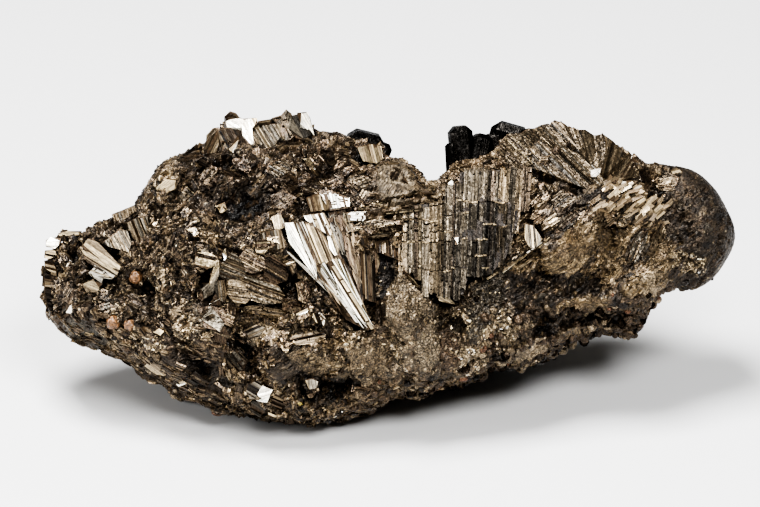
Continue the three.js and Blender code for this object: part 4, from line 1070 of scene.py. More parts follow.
# Single crystals of the face that belong to no larger group.
SINGLES = [
    ([(-6.7, 26.7), (-3.9, 27.5), (-1.5, 27.1), (-0.9, 23.9), (-2.6, 22.8), (-5.6, 23.4)], 104, CREAM,
     dict(pitch=0.6, lift=0.8, step=0.15)),
    ([(-25.2, 11.7), (-23, 12.4), (-21.9, 9.1), (-24.3, 8.2)], 101, [(BEIGE, 2), (WHITE, 1)], dict(pitch=0.6,
     lift=0.6)),
    ([(-27.1, 8.5), (-22.8, 9.1), (-21.9, 4.8), (-26.2, 3.7)], 101, LEAVES, dict(step=0.3)),
    # lower left group
    ([(-26.9, -24.7), (-24.5, -25.4), (-25.2, -27.1), (-26, -28.4), (-28.2, -27.1), (-28.4, -26.2),
     (-26.5, -25.8)], 16, [(WHITE, 2), (GREY, 1)], dict(pitch=1.2, lift=1.3, dark=0, spread=0.08)),
    ([(-28.4, -27.3), (-25.6, -28), (-26, -28.6), (-28.6, -28)], 165, WHITE, dict(pitch=0.4, lift=1.2,
     dark=0.3)),
    ([(-30.4, -24.5), (-28.6, -23.6), (-27.1, -23.9), (-27.1, -25.6), (-28.4, -27.8), (-29.9, -27.5),
     (-30.8, -26)], 150, [(SLATE, 2), (GREY, 1), (DARK, 1)], dict(lift=0.9, step=0.3)),
    ([(-30.6, -28), (-28.4, -28.2), (-26, -28.9), (-26.5, -30.8), (-27.8, -31.9), (-29.9, -30.2)], 150,
     [(DARK, 2), (SLATE, 2), (GREY, 0.6)], dict(lift=0.8, step=0.3)),
    ([(-25.4, -27.8), (-24.1, -25.6), (-21.9, -26.7), (-22.1, -28.6), (-22.8, -30.2), (-24.3, -31.9),
     (-26, -31.5), (-26.2, -29.1)], 157, [(BRONZE, 2), (TAN, 2), (BROWN, 2), (BEIGE, 0.6)], dict(lift=1.0,
     step=0.28)),
    ([(-22.6, -32.1), (-21.5, -31.2), (-20.6, -32.1), (-20.2, -33.2), (-21.5, -33.4), (-22.3, -33)], 90,
     [(WHITE, 1), (BEIGE, 1)], dict(pitch=3, lift=1.0, dark=0)),
    ([(-17.8, -23.4), (-16.1, -23), (-15, -23.9), (-15.2, -25.4), (-17.1, -25.8)], 100, [(GREY, 2),
     (BEIGE, 1)], dict(pitch=0.7, lift=1.2, dark=0)),
    ([(-20.8, -26.2), (-19.3, -25.6), (-18.7, -26), (-19.5, -27.1), (-20.8, -27.1)], 20, [(GREY, 1)],
     dict(pitch=2, lift=0.9, dark=0)),
    ([(-19.7, -28.2), (-18.4, -28), (-18.2, -29.1), (-19.3, -29.5)], 90, [((0.5, 0.4, 0.12), 1)],
     dict(pitch=0.7, lift=0.8, dark=0)),
    ([(-12.1, -28.6), (-11.5, -28.2), (-11.1, -29.1), (-11.7, -29.7)], 90, WHITE, dict(pitch=2, lift=0.8,
     dark=0)),
    ([(-12.1, -31.9), (-10, -29.9), (-9.5, -30.4), (-11.5, -32.3)], 45, [(BEIGE, 1), (WHITE, 1)],
     dict(pitch=0.4, lift=0.6, dark=0)),
    # below the fan
    ([(-22.8, -10.8), (-19.7, -9.3), (-17.1, -8), (-16.7, -8.7), (-19.1, -10.2), (-21.3, -11.1)], 22,
     [(WHITE, 2), (BEIGE, 2)], dict(lift=0.9, dark=0.1)),
    ([(-16.3, -9.1), (-14.8, -8.5), (-13.4, -10.4), (-13.7, -12.1), (-15.4, -11.3)], 112, [(WHITE, 2),
     (BEIGE, 1), (DARK, 1.5)], dict(lift=0.9, breaks=2)),
    ([(-21.9, -14.5), (-18, -13.2), (-14.3, -12.6), (-12.6, -13.9), (-15.6, -15.6), (-19.3, -16.3)], 12,
     [(TAN, 2), (BROWN, 2), (BEIGE, 0.5)], dict(pitch=0.4, lift=0.4, step=0.22, breaks=3)),
    ([(-31.2, -13), (-29.1, -11.3), (-26, -12.1), (-27.3, -13.9), (-29.9, -14.8)], 24, [(GREY, 2), (TAN, 2),
     (DARK, 1)], dict(pitch=0.5, step=0.25)),
    # on the left
    ([(-69.8, -7.4), (-68.1, -6.9), (-67.5, -8.5), (-68.3, -10), (-69.6, -9.3)], 100, [(WHITE, 2),
     (BEIGE, 1)], dict(pitch=1.0, lift=0.9, dark=0)),
    ([(-53.4, -21), (-51.4, -19.3), (-48.8, -19.7), (-47.5, -21.3), (-47.7, -23), (-50.5, -22.6)], 144,
     [(TAN, 3), (BEIGE, 2)], dict(pitch=0.7, step=0.15)),
    ([(-46.4, -24.3), (-44.7, -23.4), (-43, -23.6), (-43.2, -24.7), (-45.1, -25.2)], 5, PALE, dict(pitch=0.8,
     lift=0.7, dark=0)),
    ([(-50.5, -13.2), (-49.2, -12.1), (-48.2, -13.2), (-49, -14.3)], 100, [(WHITE, 1), (BEIGE, 2)],
     dict(pitch=0.9, lift=0.8, dark=0)),
    ([(-43.2, 8.9), (-41.4, 9.5), (-40.6, 8), (-41.9, 6.9)], 60, PALE, dict(pitch=0.6, lift=0.6, breaks=1)),
    ([(-37.1, 13.9), (-35.1, 14.8), (-34.5, 13), (-36, 11.9)], 60, [(BEIGE, 3), (GOLD, 1)], dict(pitch=0.6,
     breaks=1)),
    ([(-52.1, 15.8), (-49.5, 18.2), (-47.3, 20), (-45.1, 19.5), (-46, 17.4), (-48.2, 16.9), (-50.8, 15.2)],
     40, [(TAN, 3), (BEIGE, 3)], dict(pitch=1.2, lift=0.6, step=0.12, dark=0)),
    # below the columns
    ([(10, -5.2), (11.7, -4.8), (13.9, -6.5), (14.8, -7.6), (13, -7.2), (10.8, -6.5)], 150, [(BEIGE, 2),
     (TAN, 2)], dict(pitch=0.4, dark=0, ragged=0.2)),
    # on the right
    ([(43, 20.2), (43.6, 21.5), (45.6, 22.1), (46.6, 22.3), (45.8, 21), (44.3, 19.7)], 42, WHITE,
     dict(pitch=1.2, lift=1.1, dark=0, step=0.1)),
    ([(46.4, 18.2), (47.3, 19.3), (48.8, 19.7), (50.3, 20), (49.2, 18.7), (48.2, 17.8)], 36, WHITE,
     dict(pitch=1.2, lift=1.0, dark=0, step=0.1)),
    ([(49.9, 17.8), (50.5, 19.3), (52.7, 19.5), (53.6, 18.7), (52.1, 17.6)], 20, WHITE, dict(pitch=1.4,
     lift=1.0, dark=0, step=0.1)),
    ([(51.6, 24.5), (52.9, 24.9), (54.2, 23.4), (53.4, 22.6), (52.3, 23.2)], 140, [(BEIGE, 3), (WHITE, 2)],
     dict(pitch=1.2, lift=0.6, dark=0)),
    ([(61, 21.7), (62.5, 22.3), (64.2, 21.5), (63.3, 20.4), (61.4, 20.8)], 10, CREAM, dict(pitch=0.8,
     lift=0.4, dark=0)),
    ([(57.3, 18.7), (60.7, 20), (61.6, 19.1), (58.1, 17.8)], 20, [(BEIGE, 2), (TAN, 2), (BROWN, 1)],
     dict(lift=0.4)),
]

# Thin ledges right of the fan: outline and angle.
FAN_LEDGES = [
    ([(-7.8, 13.2), (-3.5, 14.1), (2.2, 15.8), (6.9, 16.9), (7.2, 16.3), (2.2, 15.2), (-3, 13.4),
     (-7.6, 12.6)], 13),
    ([(-9.3, 8.7), (-6.1, 10.4), (-1.7, 11.1), (3, 10.4), (3, 9.8), (-1.7, 10.2), (-5.6, 9.5), (-8.9, 7.8)],
     8),
    ([(-4.8, 6.9), (-1.7, 8.2), (2.6, 8), (2.6, 7.4), (-1.5, 7.4), (-4.3, 6.3)], 6),
    ([(-0.9, 12.4), (3, 13.2), (7.8, 13.4), (7.8, 12.8), (3.3, 12.6), (-0.7, 11.7)], 6),
]
# Dull crystals, half sunk in the rock.
DULL = [
    # above the fan
    ([(-18.4, 24.1), (-16.5, 24.5), (-15.2, 23), (-15.6, 21.7), (-17.6, 22.1)], 20, PALE, dict(pitch=0.7,
     lift=0.4, dark=0)),
    ([(-18.7, 26.7), (-17.4, 26.9), (-16.7, 25.6), (-18, 24.3), (-18.9, 25.6)], 130, [(GREY, 2), (BEIGE, 1)],
     dict(pitch=0.6, lift=0.3)),
    ([(-26, 23.2), (-22.6, 24.3), (-20.4, 22.6), (-21.3, 20.4), (-24.3, 19.5), (-26.5, 21.3)], 150,
     [(BRONZE, 3), (TAN, 1.5), (SLATE, 1)], dict(pitch=0.34, step=0.14)),
    ([(-15.2, 26), (-11.7, 26.9), (-10, 24.7), (-11.3, 22.1), (-14.3, 22.6)], 30, [(BRONZE, 3), (BROWN, 2),
     (GREY, 1)], dict(pitch=0.38, step=0.14)),
    ([(-10, 20), (-5.6, 21.7), (-3, 19.5), (-4.8, 17.4), (-8.2, 17.4)], 20, [(TAN, 2), (BRONZE, 3)],
     dict(pitch=0.36, lift=0, step=0.14)),
    ([(-19.1, 18.2), (-15.6, 19.5), (-13.4, 18.2), (-15.2, 16.1), (-18.2, 16.1)], 160, DUSKY, dict(pitch=0.36,
     step=0.16)),
    ([(-33.8, 23.9), (-30.8, 25.2), (-28.6, 23.4), (-29.9, 20.8), (-33, 21.3)], 120, [(BROWN, 3), (BRONZE, 2),
     (TAN, 1)], {}),
    ([(-41.6, 21.3), (-39, 23), (-36.4, 22.1), (-37.3, 19.1), (-40.3, 18.7)], 60, [(BROWN, 2), (BRONZE, 3),
     (TAN, 1)], {}),
    ([(-46, 17.4), (-43, 18.7), (-41.2, 16.9), (-43, 14.3), (-45.6, 14.8)], 140, [(TAN, 2), (BRONZE, 3),
     (BEIGE, 0.5)], {}),
    ([(-25.6, 16.1), (-22.1, 17.4), (-19.5, 15.6), (-21.3, 13), (-24.7, 13)], 35, UMBER, dict(lift=0)),
    # around the fan
    ([(-2.6, -6.5), (-0.9, -6.1), (0, -9.1), (-1.3, -12.1), (-2.8, -10.4)], 96, [(BROWN, 3), (TAN, 1),
     (BRONZE, 2)], {}),
    ([(-18, -8.7), (-15.6, -7.8), (-13, -10.4), (-11.3, -13.9), (-13, -15.2), (-16.1, -12.1)], 122,
     [(BROWN, 3), (BRONZE, 2), (GREY, 1)], dict(pitch=0.36, lift=0)),
    ([(-32.5, -7.8), (-27.3, -7.2), (-20.8, -9.1), (-19.1, -11.3), (-24.3, -11.3), (-30.4, -10)], 172,
     [(TAN, 2), (BRONZE, 4), (GOLD, 2)], dict(pitch=0.28, lift=0.2, step=0.12, dim=0.8)),
    # flat facets below the book
    ([(-41.2, -8.2), (-38.2, -7.4), (-35.1, -8.2), (-34.5, -10.8), (-36.2, -13.2), (-39.5, -12.4)], 171, GREY,
     dict(pitch=3, lift=0.9, step=0.05, dark=0, dim=0.8, breaks=None, ragged=0.02)),
    ([(-37.7, -13), (-35.1, -11.9), (-33.8, -13.9), (-35.1, -16.1), (-37.1, -15.4)], 60, TAN, dict(pitch=3,
     lift=0.8, step=0.05, dark=0, dim=0.7, breaks=None, ragged=0.02)),
]
DULL += [
    (outline, angle, [(TAN, 3), (BEIGE, 1.5), (BRONZE, 1)], dict(pitch=0.26, lift=0.4, step=0.12, dim=0.5,
     breaks=1.6))
    for outline, angle in FAN_LEDGES
]
DULL += [
    # on the left
    ([(-62.5, -6.5), (-60.3, -5.9), (-59, -7.8), (-60.5, -9.5), (-62.3, -8.7)], 20, [(GREY, 3), (TAN, 1)],
     dict(pitch=0.5, lift=0.2, breaks=1)),
    ([(-56.4, -4.3), (-53.4, -5.6), (-52.1, -7.8), (-54.2, -9.1), (-56.8, -6.9)], 150, [(TAN, 1), (BRONZE, 3),
     (BROWN, 2)], dict(pitch=0.36, step=0.15)),
    ([(-66.8, -5.6), (-64.2, -4.8), (-62.9, -6.5), (-64.6, -8.2), (-66.8, -7.8)], 20, UMBER, {}),
    ([(-48.2, 7.4), (-45.6, 8.7), (-43.8, 6.5), (-45.1, 3.9), (-47.7, 4.3)], 70, DUSKY, {}),
    ([(-43.8, -6.5), (-41.6, -5.6), (-40.3, -7.8), (-42.1, -9.5), (-43.8, -8.7)], 20, [(TAN, 2), (BEIGE, 1),
     (BRONZE, 2)], dict(lift=0.2, breaks=1)),
    ([(-44.7, -22.6), (-41.6, -21.7), (-38.2, -24.3), (-39.5, -26.5), (-43, -25.2)], 150, [(BROWN, 2),
     (SLATE, 2), (TAN, 0.7)], dict(pitch=0.36)),
    ([(-35.6, -17.8), (-32.5, -16.9), (-29.9, -19.5), (-31.2, -22.1), (-34.3, -20.8)], 130, [(BROWN, 3),
     (BRONZE, 2), (GREY, 1)], {}),
    # between the columns and the lobe
    ([(34.3, 15.6), (37.3, 17.4), (41.2, 16.5), (39.9, 13.9), (36, 12.6)], 38, [(SLATE, 2), (BRONZE, 3),
     (TAN, 1)], dict(pitch=0.3, lift=0, step=0.14)),
    ([(35.6, 10.4), (39.9, 13.9), (43.4, 14.3), (41.6, 11.3), (37.7, 7.8), (35.6, 7.8)], 40, [(SLATE, 2),
     (BRONZE, 3), (BROWN, 2)], dict(pitch=0.3, lift=0, step=0.14)),
    ([(31.2, 18.7), (33.8, 19.1), (36.4, 17.4), (34.7, 15.2), (31.7, 15.6)], 120, DUSKY, dict(lift=0)),
    ([(52.1, 4.8), (54.2, 8.7), (56.4, 9.1), (55.5, 4.8), (53.4, 1.3), (51.6, 1.7)], 66, [(SLATE, 2),
     (GREY, 1), (BRONZE, 2)], dict(pitch=0.3, lift=0, step=0.12, dim=0.7)),
    ([(56.4, 8.2), (59, 9.5), (59.9, 6.9), (57.7, 3.5), (56, 3.9)], 55, [(TAN, 1), (BRONZE, 3), (BROWN, 1)],
     dict(pitch=0.34, step=0.15, dim=0.8)),
    ([(53.8, 22.1), (56, 23), (57.7, 20.4), (56.8, 18.2), (54.7, 19.1)], 110, [(BROWN, 3), (TAN, 1),
     (BRONZE, 1)], {}),
    ([(57.9, 20.4), (60.7, 21.3), (63.3, 20), (62.5, 17.8), (59, 17.8)], 10, [(TAN, 2), (BRONZE, 2),
     (BEIGE, 0.6)], dict(pitch=0.36, breaks=2)),
]

# Where the bright overlapping plates lie.
PLATES = [
    (43.8, 17.8), (47, 18.6), (54.9, 17.8), (60.2, 14.2), (60.6, 10), (56.6, 9.4), (52.3, 11.4), (45.4, 12.6),
]

# Areas of the face with a look of their own: style and outlines. A later one wins.
AREAS = [
    ("shadowed", [PLATES]),
    ("granular", [
        [(15.4, -17.4), (17.4, -15.8), (19.5, -14.8), (20.8, -16.3), (21.3, -18.7), (20.2, -21.3),
         (17.8, -22.8), (16.1, -21.9), (15, -19.5)],
        [(15.4, -8.2), (16.7, -8), (17.6, -10.4), (17.6, -13), (16.3, -14.5), (15.2, -13.7), (15, -10.8)],
        [(20.8, -11.9), (23.6, -10.4), (24.9, -7.2), (26, -8.7), (26.5, -11.9), (27.8, -14.3), (27.3, -16.1),
         (25.2, -17.4), (23, -16.1), (20, -14.8)],
        [(0.7, -15.2), (2.2, -13.9), (2.8, -16.5), (3.5, -19.1), (4.6, -21.3), (3.7, -22.6), (2, -20),
         (0.9, -17.8)],
        [(-47.3, -9.1), (-44, -8.5), (-40.8, -10), (-40.3, -13), (-41.9, -16.3), (-44.5, -15.6),
         (-46.2, -13)],
        [(-55.5, -13.9), (-51.6, -13.7), (-47.7, -14.8), (-48.4, -17.8), (-51.6, -17.8), (-54.7, -16.5)],
        [(59.9, 3), (63.3, 4.3), (67.7, 3), (69.4, 1.3), (67.7, -1.3), (64.2, -0.4), (60.7, 0.4)],
        [(-37.5, 16.1), (-33.8, 16.1), (-32.1, 13.4), (-33.8, 10.8), (-37.7, 11.7)],
        [(-10.4, -14.1), (-6.9, -13.2), (-5.2, -15.2), (-6.5, -17.8), (-9.5, -17.4)],
    ]),
    ("scaly", [[(38.6, 6.5), (43.8, 8), (48.6, 9.1), (52.1, 6.5), (52.5, 1.7), (49, -1.3), (44.3, -0.4),
     (39.9, 1.7)]]),
    ("shadowed", [
        [(34.1, 16.1), (40.6, 18.2), (44.3, 16.5), (42.7, 12.6), (38.6, 8.2), (34.3, 4.3), (32.5, 6.5),
         (36.4, 11.7)],
        [(24.3, -1.7), (30.8, 0), (39.5, -0.4), (47.3, -2.2), (46, -5.6), (37.3, -6.5), (28.6, -7.8),
         (24.3, -6.5)],
        [(52.1, 7.4), (55.5, 9.5), (56.8, 7.4), (54.7, 1.7), (50.8, -3.5), (48.6, -4.3), (51.2, 1.3)],
        [(33, 22.1), (36.4, 21.3), (41.6, 19.1), (39.9, 17.4), (34.7, 18.2), (32.1, 19.5)],
        [(-47.3, -16.3), (-43, -17.4), (-37.7, -20), (-33, -23.9), (-34.7, -26), (-40.8, -24.3),
         (-46, -20.4)],
        [(-25.6, -15.2), (-19.1, -17.8), (-14.3, -22.1), (-9.5, -28.2), (-12.6, -29.9), (-19.1, -27.3),
         (-24.3, -22.1)],
        [(-41.6, 16.1), (-28.2, 18.2), (-26, 14.1), (-31.2, 10.4), (-37.7, 11.7)],
    ]),
]

# Facets of the rock itself: outline, lift, tint, direction of the grain and grittiness.
PATCHES = [
    ([(-2.2, 22.3), (2.2, 23.2), (5.4, 20.4), (5, 15.6), (1.5, 13.9), (-2.2, 15.6)], 0.3, (0.11, 0.086,
     0.058), 62, 0.2),
    ([(2.8, 0), (4.3, -0.4), (5.6, -2.2), (6.9, -4.1), (8.5, -7.4), (7.2, -9.1), (5.9, -10.8), (5, -13.4),
     (3.5, -14.8), (1.7, -12.1), (0, -10.4), (-0.9, -7.8), (0, -5.6), (1.1, -3)], 0.8, (0.08, 0.06, 0.037),
     100, 0.8),
    ([(8.5, -11.3), (9.8, -11.7), (10.4, -13.4), (10.8, -16.3), (10.4, -18.9), (9.1, -20.8), (6.9, -20.2),
     (5.6, -18.2), (5.9, -15.6), (6.7, -13.4)], 0.9, FACET, 96, 0.9),
    ([(10.8, -13), (13, -12.1), (14.8, -14.1), (15.2, -16.9), (14.8, -20), (12.6, -21.7), (11.1, -20)], 0.4,
     BROWN, 90, 0.7),
    ([(19.5, -1.3), (24.3, 1.3), (29.1, 4.1), (30.8, 4.8), (29.7, 2.6), (26, -0.4), (24.3, -4.3),
     (24.9, -5.6), (24.1, -9.1), (21.5, -11.5), (20, -13.4), (18.7, -15.6), (17.4, -15.6), (16.9, -13),
     (17.4, -8.7), (17.8, -4.8)], 0.1, (0.034, 0.026, 0.016), 45, 0.8),
    ([(-41.4, -8.7), (-39.7, -8), (-36, -8.2), (-35.4, -10.2), (-37.3, -13), (-39.5, -12.6)], 0.6, GREY, 171,
     0.25),
    ([(-41.2, -11.7), (-39.5, -11.3), (-38.2, -13.4), (-38.4, -16.1), (-40.3, -16.1), (-41.6, -14.1)], 0.5,
     FACET, 100, 0.9),
    ([(-37.1, -13.4), (-35.1, -11.3), (-33.8, -12.6), (-34.3, -14.8), (-36, -15.4)], 0.5, GREY, 60, 0.4),
    ([(-50.3, 1.3), (-48.6, 1.7), (-47.7, -0.4), (-47.9, -4.8), (-49.5, -4.3), (-51, -1.3)], 0.7, TAN, 99,
     1.0),
    ([(-52.7, -19.1), (-50.5, -18), (-48.4, -19.5), (-47.7, -22.1), (-49.5, -23), (-52.1, -21.3)], 0.4, FACET,
     130, 0.9),
    ([(-70.3, -10.4), (-65.9, -10), (-61.6, -13), (-59.9, -15.6), (-63.3, -16.5), (-67.7, -14.8)], 0.3, SLATE,
     146, 0.5),
    ([(-60.3, -14.8), (-56.8, -16.3), (-52.1, -20.8), (-53.8, -20.8), (-58.6, -18.7), (-61.6, -16.9)], 0.2,
     BRONZE, 146, 0.5),
    ([(-50.5, 18), (-49.5, 20), (-46.4, 20.8), (-44.7, 20), (-46, 17.8), (-48.6, 16.9)], 0.6, TAN, 27, 0.5),
    ([(7.8, -24.7), (10, -24.3), (12.6, -24.3), (12.6, -27.3), (8.2, -27.3)], 0.2, RUST, 3, 0.8),
    ([(26.5, -17.4), (30.8, -14.8), (34.1, -14.3), (34.7, -16.5), (30.8, -19.1), (27.3, -20)], 0.2, TAN, 20,
     0.9),
    ([(36.4, -13.4), (40.3, -12.1), (43.8, -13), (42.5, -15.6), (38.6, -16.5), (36.4, -15.6)], 0.3, BRONZE,
     20, 0.9),
    ([(54.7, -1.7), (58.1, 0.4), (59.4, -2.2), (57.7, -5.2), (54.7, -5.6)], 0.5, TAN, 50, 0.6),
    ([(-22.1, -17.8), (-17.8, -16.5), (-12.6, -18.7), (-7.8, -22.1), (-9.5, -24.3), (-15.2, -23),
     (-20, -20.8)], 0.3, BRONZE, 150, 0.6),
    ([(-8.7, -17.4), (-3.5, -16.1), (0, -18.7), (-0.9, -23), (-5.2, -24.7), (-8.2, -21.7)], 0.4, BRONZE, 30,
     0.8),
    ([(-33, -13), (-27.3, -11.3), (-22.6, -13), (-24.3, -16.1), (-29.5, -16.5)], 0.4, TAN, 20, 0.9),
    ([(-40.8, 8.7), (-37.7, 9.5), (-36, 7.4), (-37.7, 5.2), (-40.3, 6.1)], 0.4, BRONZE, 45, 0.9),
    ([(-2.8, 1.7), (-0.4, 3), (2.2, 1.7), (3, 0), (0.9, -2.6), (-0.9, -5.6), (-2.6, -7.8), (-3.5, -3.9)],
     -1.0, DARK, 100, 0.7),
]


def laid_out(name, slot, rows, seed, node=None, **usual):
    """A heap of crystals from a list of outlines, standing for a node or seated on the rock."""
    rng = np.random.default_rng(seed)
    heap = Heap(name, slot)
    for outline, angle, tint, special in rows:
        crystal(heap, outline, angle, tint, rng, **{"tree": node or "all", **usual, **special})
    return heap


def rubble(name, slot, rows, seed, each, reach, rake):
    """Broken crystals along the backs of the crystals of the crest, so that they aren't bare. each is how
    many there are to an outline and reach is how far in they lie."""
    rng = np.random.default_rng(seed)
    heap = Heap(name, slot)
    for outline, _, _, _ in rows:
        outline = np.array(outline, float)
        a, b, c = resting_plane(outline, "all")
        outline = resized(outline, 1.1)
        start = rng.integers(0, len(outline), each)
        spots = outline[start] + (np.roll(outline, -1, axis=0) - outline)[start] * rng.random((each, 1))
        inward = rng.uniform(*reach, each)
        w = a + b * spots[:, 0] + c * spots[:, 1] - inward
        centre = np.column_stack([spots[:, 0], spots[:, 1] - rake * inward - 0.3, w])
        axes = np.linalg.qr(rng.normal(size=(each, 3, 3)))[0]
        size = rng.uniform([0.5, 1.2, 0.4], [1.2, 2.6, 0.9], (each, 3))
        heap.boxes(row(centre), axes, size, tints(rng, ROCK, each, 0.4), rng, skew=0.6)
    return heap


# ---- Black crystals: blocks with bevelled edges ----
def bevelled(heap, centre, angles, size, bevel, tint, rng):
    """A block crystal on the face, whose twelve edges are cut by a bevel."""
    half = np.array(size) / 2
    signs = [(x, y, z) for x in (-1, 1) for y in (-1, 1) for z in (-1, 1)]
    cuts = bevel * (1 - np.eye(3))
    verts = np.array([np.array(sign) * (half - cut) for sign in signs for cut in cuts])

    def vertex(place, axis):
        return signs.index(tuple(place)) * 3 + axis

    quads = []
    for axis in range(3):
        first, second = [i for i in range(3) if i != axis]
        for sign in (-1, 1):
            flat = []
            for x, y in ((-1, -1), (1, -1), (1, 1), (-1, 1)):
                place = np.zeros(3, int)
                place[[axis, first, second]] = sign, x, y
                flat.append(vertex(place, axis))
            quads.append(flat)
            for other in (-1, 1):
                edge = []
                place = np.zeros(3, int)
                place[[first, second]] = sign, other
                for end, pair in ((-1, (first, second)), (1, (second, first))):
                    place[axis] = end
                    edge += [vertex(place, side) for side in pair]
                quads.append(edge)
    corners = [[vertex(s, axis) for axis in range(3)] for s in signs]

    def outward(loop):
        points = verts[loop]
        facing = np.cross(points[1] - points[0], points[2] - points[0]) @ points.mean(axis=0)
        return loop if facing > 0 else loop[::-1]

    turn = np.array(Euler([math.radians(a) for a in angles]).to_matrix())
    faces = [np.array([outward(q) for q in quads]), np.array([outward(c) for c in corners])]
    verts_out = row(np.array(centre) + verts @ turn.T)
    heap.add(verts_out[None], faces, np.array([tint]), verts[None] + rng.uniform(0, 300))


BLACK = (0.024, 0.022, 0.02)
# The black crystals: place on the face, turns, size and bevel of each block.
BLACK_BLOCKS = {
    "cassiterite_left": [
        ((-5.2, 26.4, -3.6), (8, 6, -14), (8.4, 7.4, 7.4), 1.7),
        ((-1.9, 25.2, -3.4), (0, 14, -22), (3.8, 5.6, 5.6), 1.0),
        ((-8.6, 26.6, -4.0), (4, -10, 12), (3.0, 4.2, 5), 0.9),
    ],
    "cassiterite_middle": [
        ((16, 26.2, -4.8), (4, 10, 6), (5, 10.4, 5.6), 1.3),
        ((19.8, 25.6, -5.2), (-6, 18, -12), (4.4, 8, 5.2), 1.1),
        ((14.2, 23.6, -4.2), (0, 24, 3), (2.6, 8, 3.6), 0.6),
    ],
    "cassiterite_right": [
        ((26.2, 28.6, -6.8), (10, -8, -16), (8.2, 6.4, 6.2), 1.5),
        ((29.6, 28.2, -6.4), (0, 20, 12), (4.2, 4.8, 5), 0.9),
        ((23.4, 27.6, -6), (6, 12, 20), (3.6, 4.8, 4.2), 0.8),
    ],
}


# ---- Round forms ----
def ball(subdivisions):
    """The vertices and triangles of a ball of radius 1."""
    made = bmesh.new()
    bmesh.ops.create_icosphere(made, subdivisions=subdivisions, radius=1.0)
    verts = np.array([v.co for v in made.verts])
    tris = np.array([[v.index for v in f.verts] for f in made.faces])
    made.free()
    return verts, tris


def warty(verts, seed, amount):
    """How far out each point of a ball stands, for a warty skin."""
    skin = np.array([noise.fractal(Vector(p) * 2.2 + Vector((seed, 0, 0)), 0.8, 2.1, 4) for p in verts])
    dent = np.array([noise.voronoi(Vector(p) * 1.8 + Vector((0, seed, 0)))[0][0] for p in verts])
    return 0.98 + amount * (0.7 * skin + dent - 0.4), skin


SPHERULE = (0.14, 0.07, 0.03)


def spherule(node, seed):
    """A brown ball with a warty skin, where its node is."""
    low, high = (np.array(corner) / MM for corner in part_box(node))
    verts, tris = ball(4)
    radial, skin = warty(verts, seed, 0.1)
    heap = Heap(node + "_ball", "spherule")
    places = (low + high) / 2 + verts * (radial * (high - low).min() * 0.6)[:, None]
    heap.add(places[None], [tris], np.array([SPHERULE]), verts[None] * 3)
    heap.tints[0] = heap.tints[0] * (0.9 + 0.9 * skin)[:, None]
    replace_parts(heap.object(), node)


# ---- Small crystals scattered over the rock ----
class Ground:
    """The finished rock surface, for choosing random places on it."""

    def __init__(self, relief):
        corners = relief.moved[relief.tris]
        cross = np.cross(corners[:, 1] - corners[:, 0], corners[:, 2] - corners[:, 0])
        first = relief.tris[:, 0]
        self.area = np.linalg.norm(cross, axis=1) / 2
        self.middle = corners.mean(axis=1)
        self.places = face(self.middle)
        self.normals = relief.normals[first]
        self.kind = relief.kind[first]
        self.bare = ~relief.covered[first]
        self.hollow = relief.hollow[first]

    def density(self, kinds):
        """1 on the kinds of surface named, and 0 elsewhere."""
        return np.isin(self.kind, [KINDS.index(name) for name in kinds]) * (self.hollow < 0.6)

    def pick(self, rng, count, density):
        """Places weighted by area and density, with the smooth normals there."""
        weight = self.area * density * (self.middle[:, 2] > 0.8) * self.bare
        picked = rng.choice(len(weight), count, p=weight / weight.sum())
        return self.middle[picked], self.normals[picked]


def packets(heap, ground, rng, count, density, leaves, length, width, thick, rise, palette, angle=None,
            wander=0.35, skew=0.5, lift=-0.12):
    """Groups of parallel blades growing from the rock. Each group has one direction, which changes slowly
    over the rock unless angle gives it. leaves, length, width and thick are ranges, and so is rise, the slope
    out of the rock. wander varies the direction, skew cuts the ends and lift moves the blades outward."""
    points, normals = ground.pick(rng, count, density)
    if angle is None:
        strike = np.array([on_face(noise.noise(Vector(p) * 0.09) * 500) for p in face(points)])
    else:
        strike = on_face(angle)
    heading = strike + rng.normal(size=(count, 3)) * wander
    lying = heading - (heading * normals).sum(axis=1, keepdims=True) * normals
    lying /= np.linalg.norm(lying, axis=1, keepdims=True) + 1e-9
    climb = np.radians(rng.uniform(*rise, count))[:, None]
    along = lying * np.cos(climb) + normals * np.sin(climb)
    across = np.cross(lying, normals)
    out = np.cross(across, along)
    number = rng.integers(leaves[0], leaves[1] + 1, count)
    group = np.repeat(np.arange(count), number)
    order = np.concatenate([np.arange(n) - (n - 1) / 2 for n in number])
    long = rng.uniform(*length, count)[group] * rng.uniform(0.55, 1.2, len(group))
    wide = rng.uniform(*width, count)[group] * rng.uniform(0.85, 1.15, len(group))
    deep = rng.uniform(*thick, count)[group]
    across, along, out = across[group], along[group], out[group]
    centre = points[group] + across * (order * wide * 0.98)[:, None]
    centre = centre + along * (rng.uniform(-0.2, 0.2, len(group)) * long)[:, None]
    centre = centre + out * (rng.uniform(-0.25, 0.25, len(group)) * deep + lift)[:, None]
    shade = np.sqrt(tints(rng, palette, count)[group] * tints(rng, palette, len(group)))
    shade *= rng.uniform(0.6, 1.5, (len(group), 1))
    axes = np.stack([across, along, out], axis=1)
    heap.boxes(centre, axes, np.column_stack([wide, long, deep]), shade, rng, skew=skew)


THIN = ((0.2, 0.36), (0.4, 0.8))  # width and thickness of a sliver
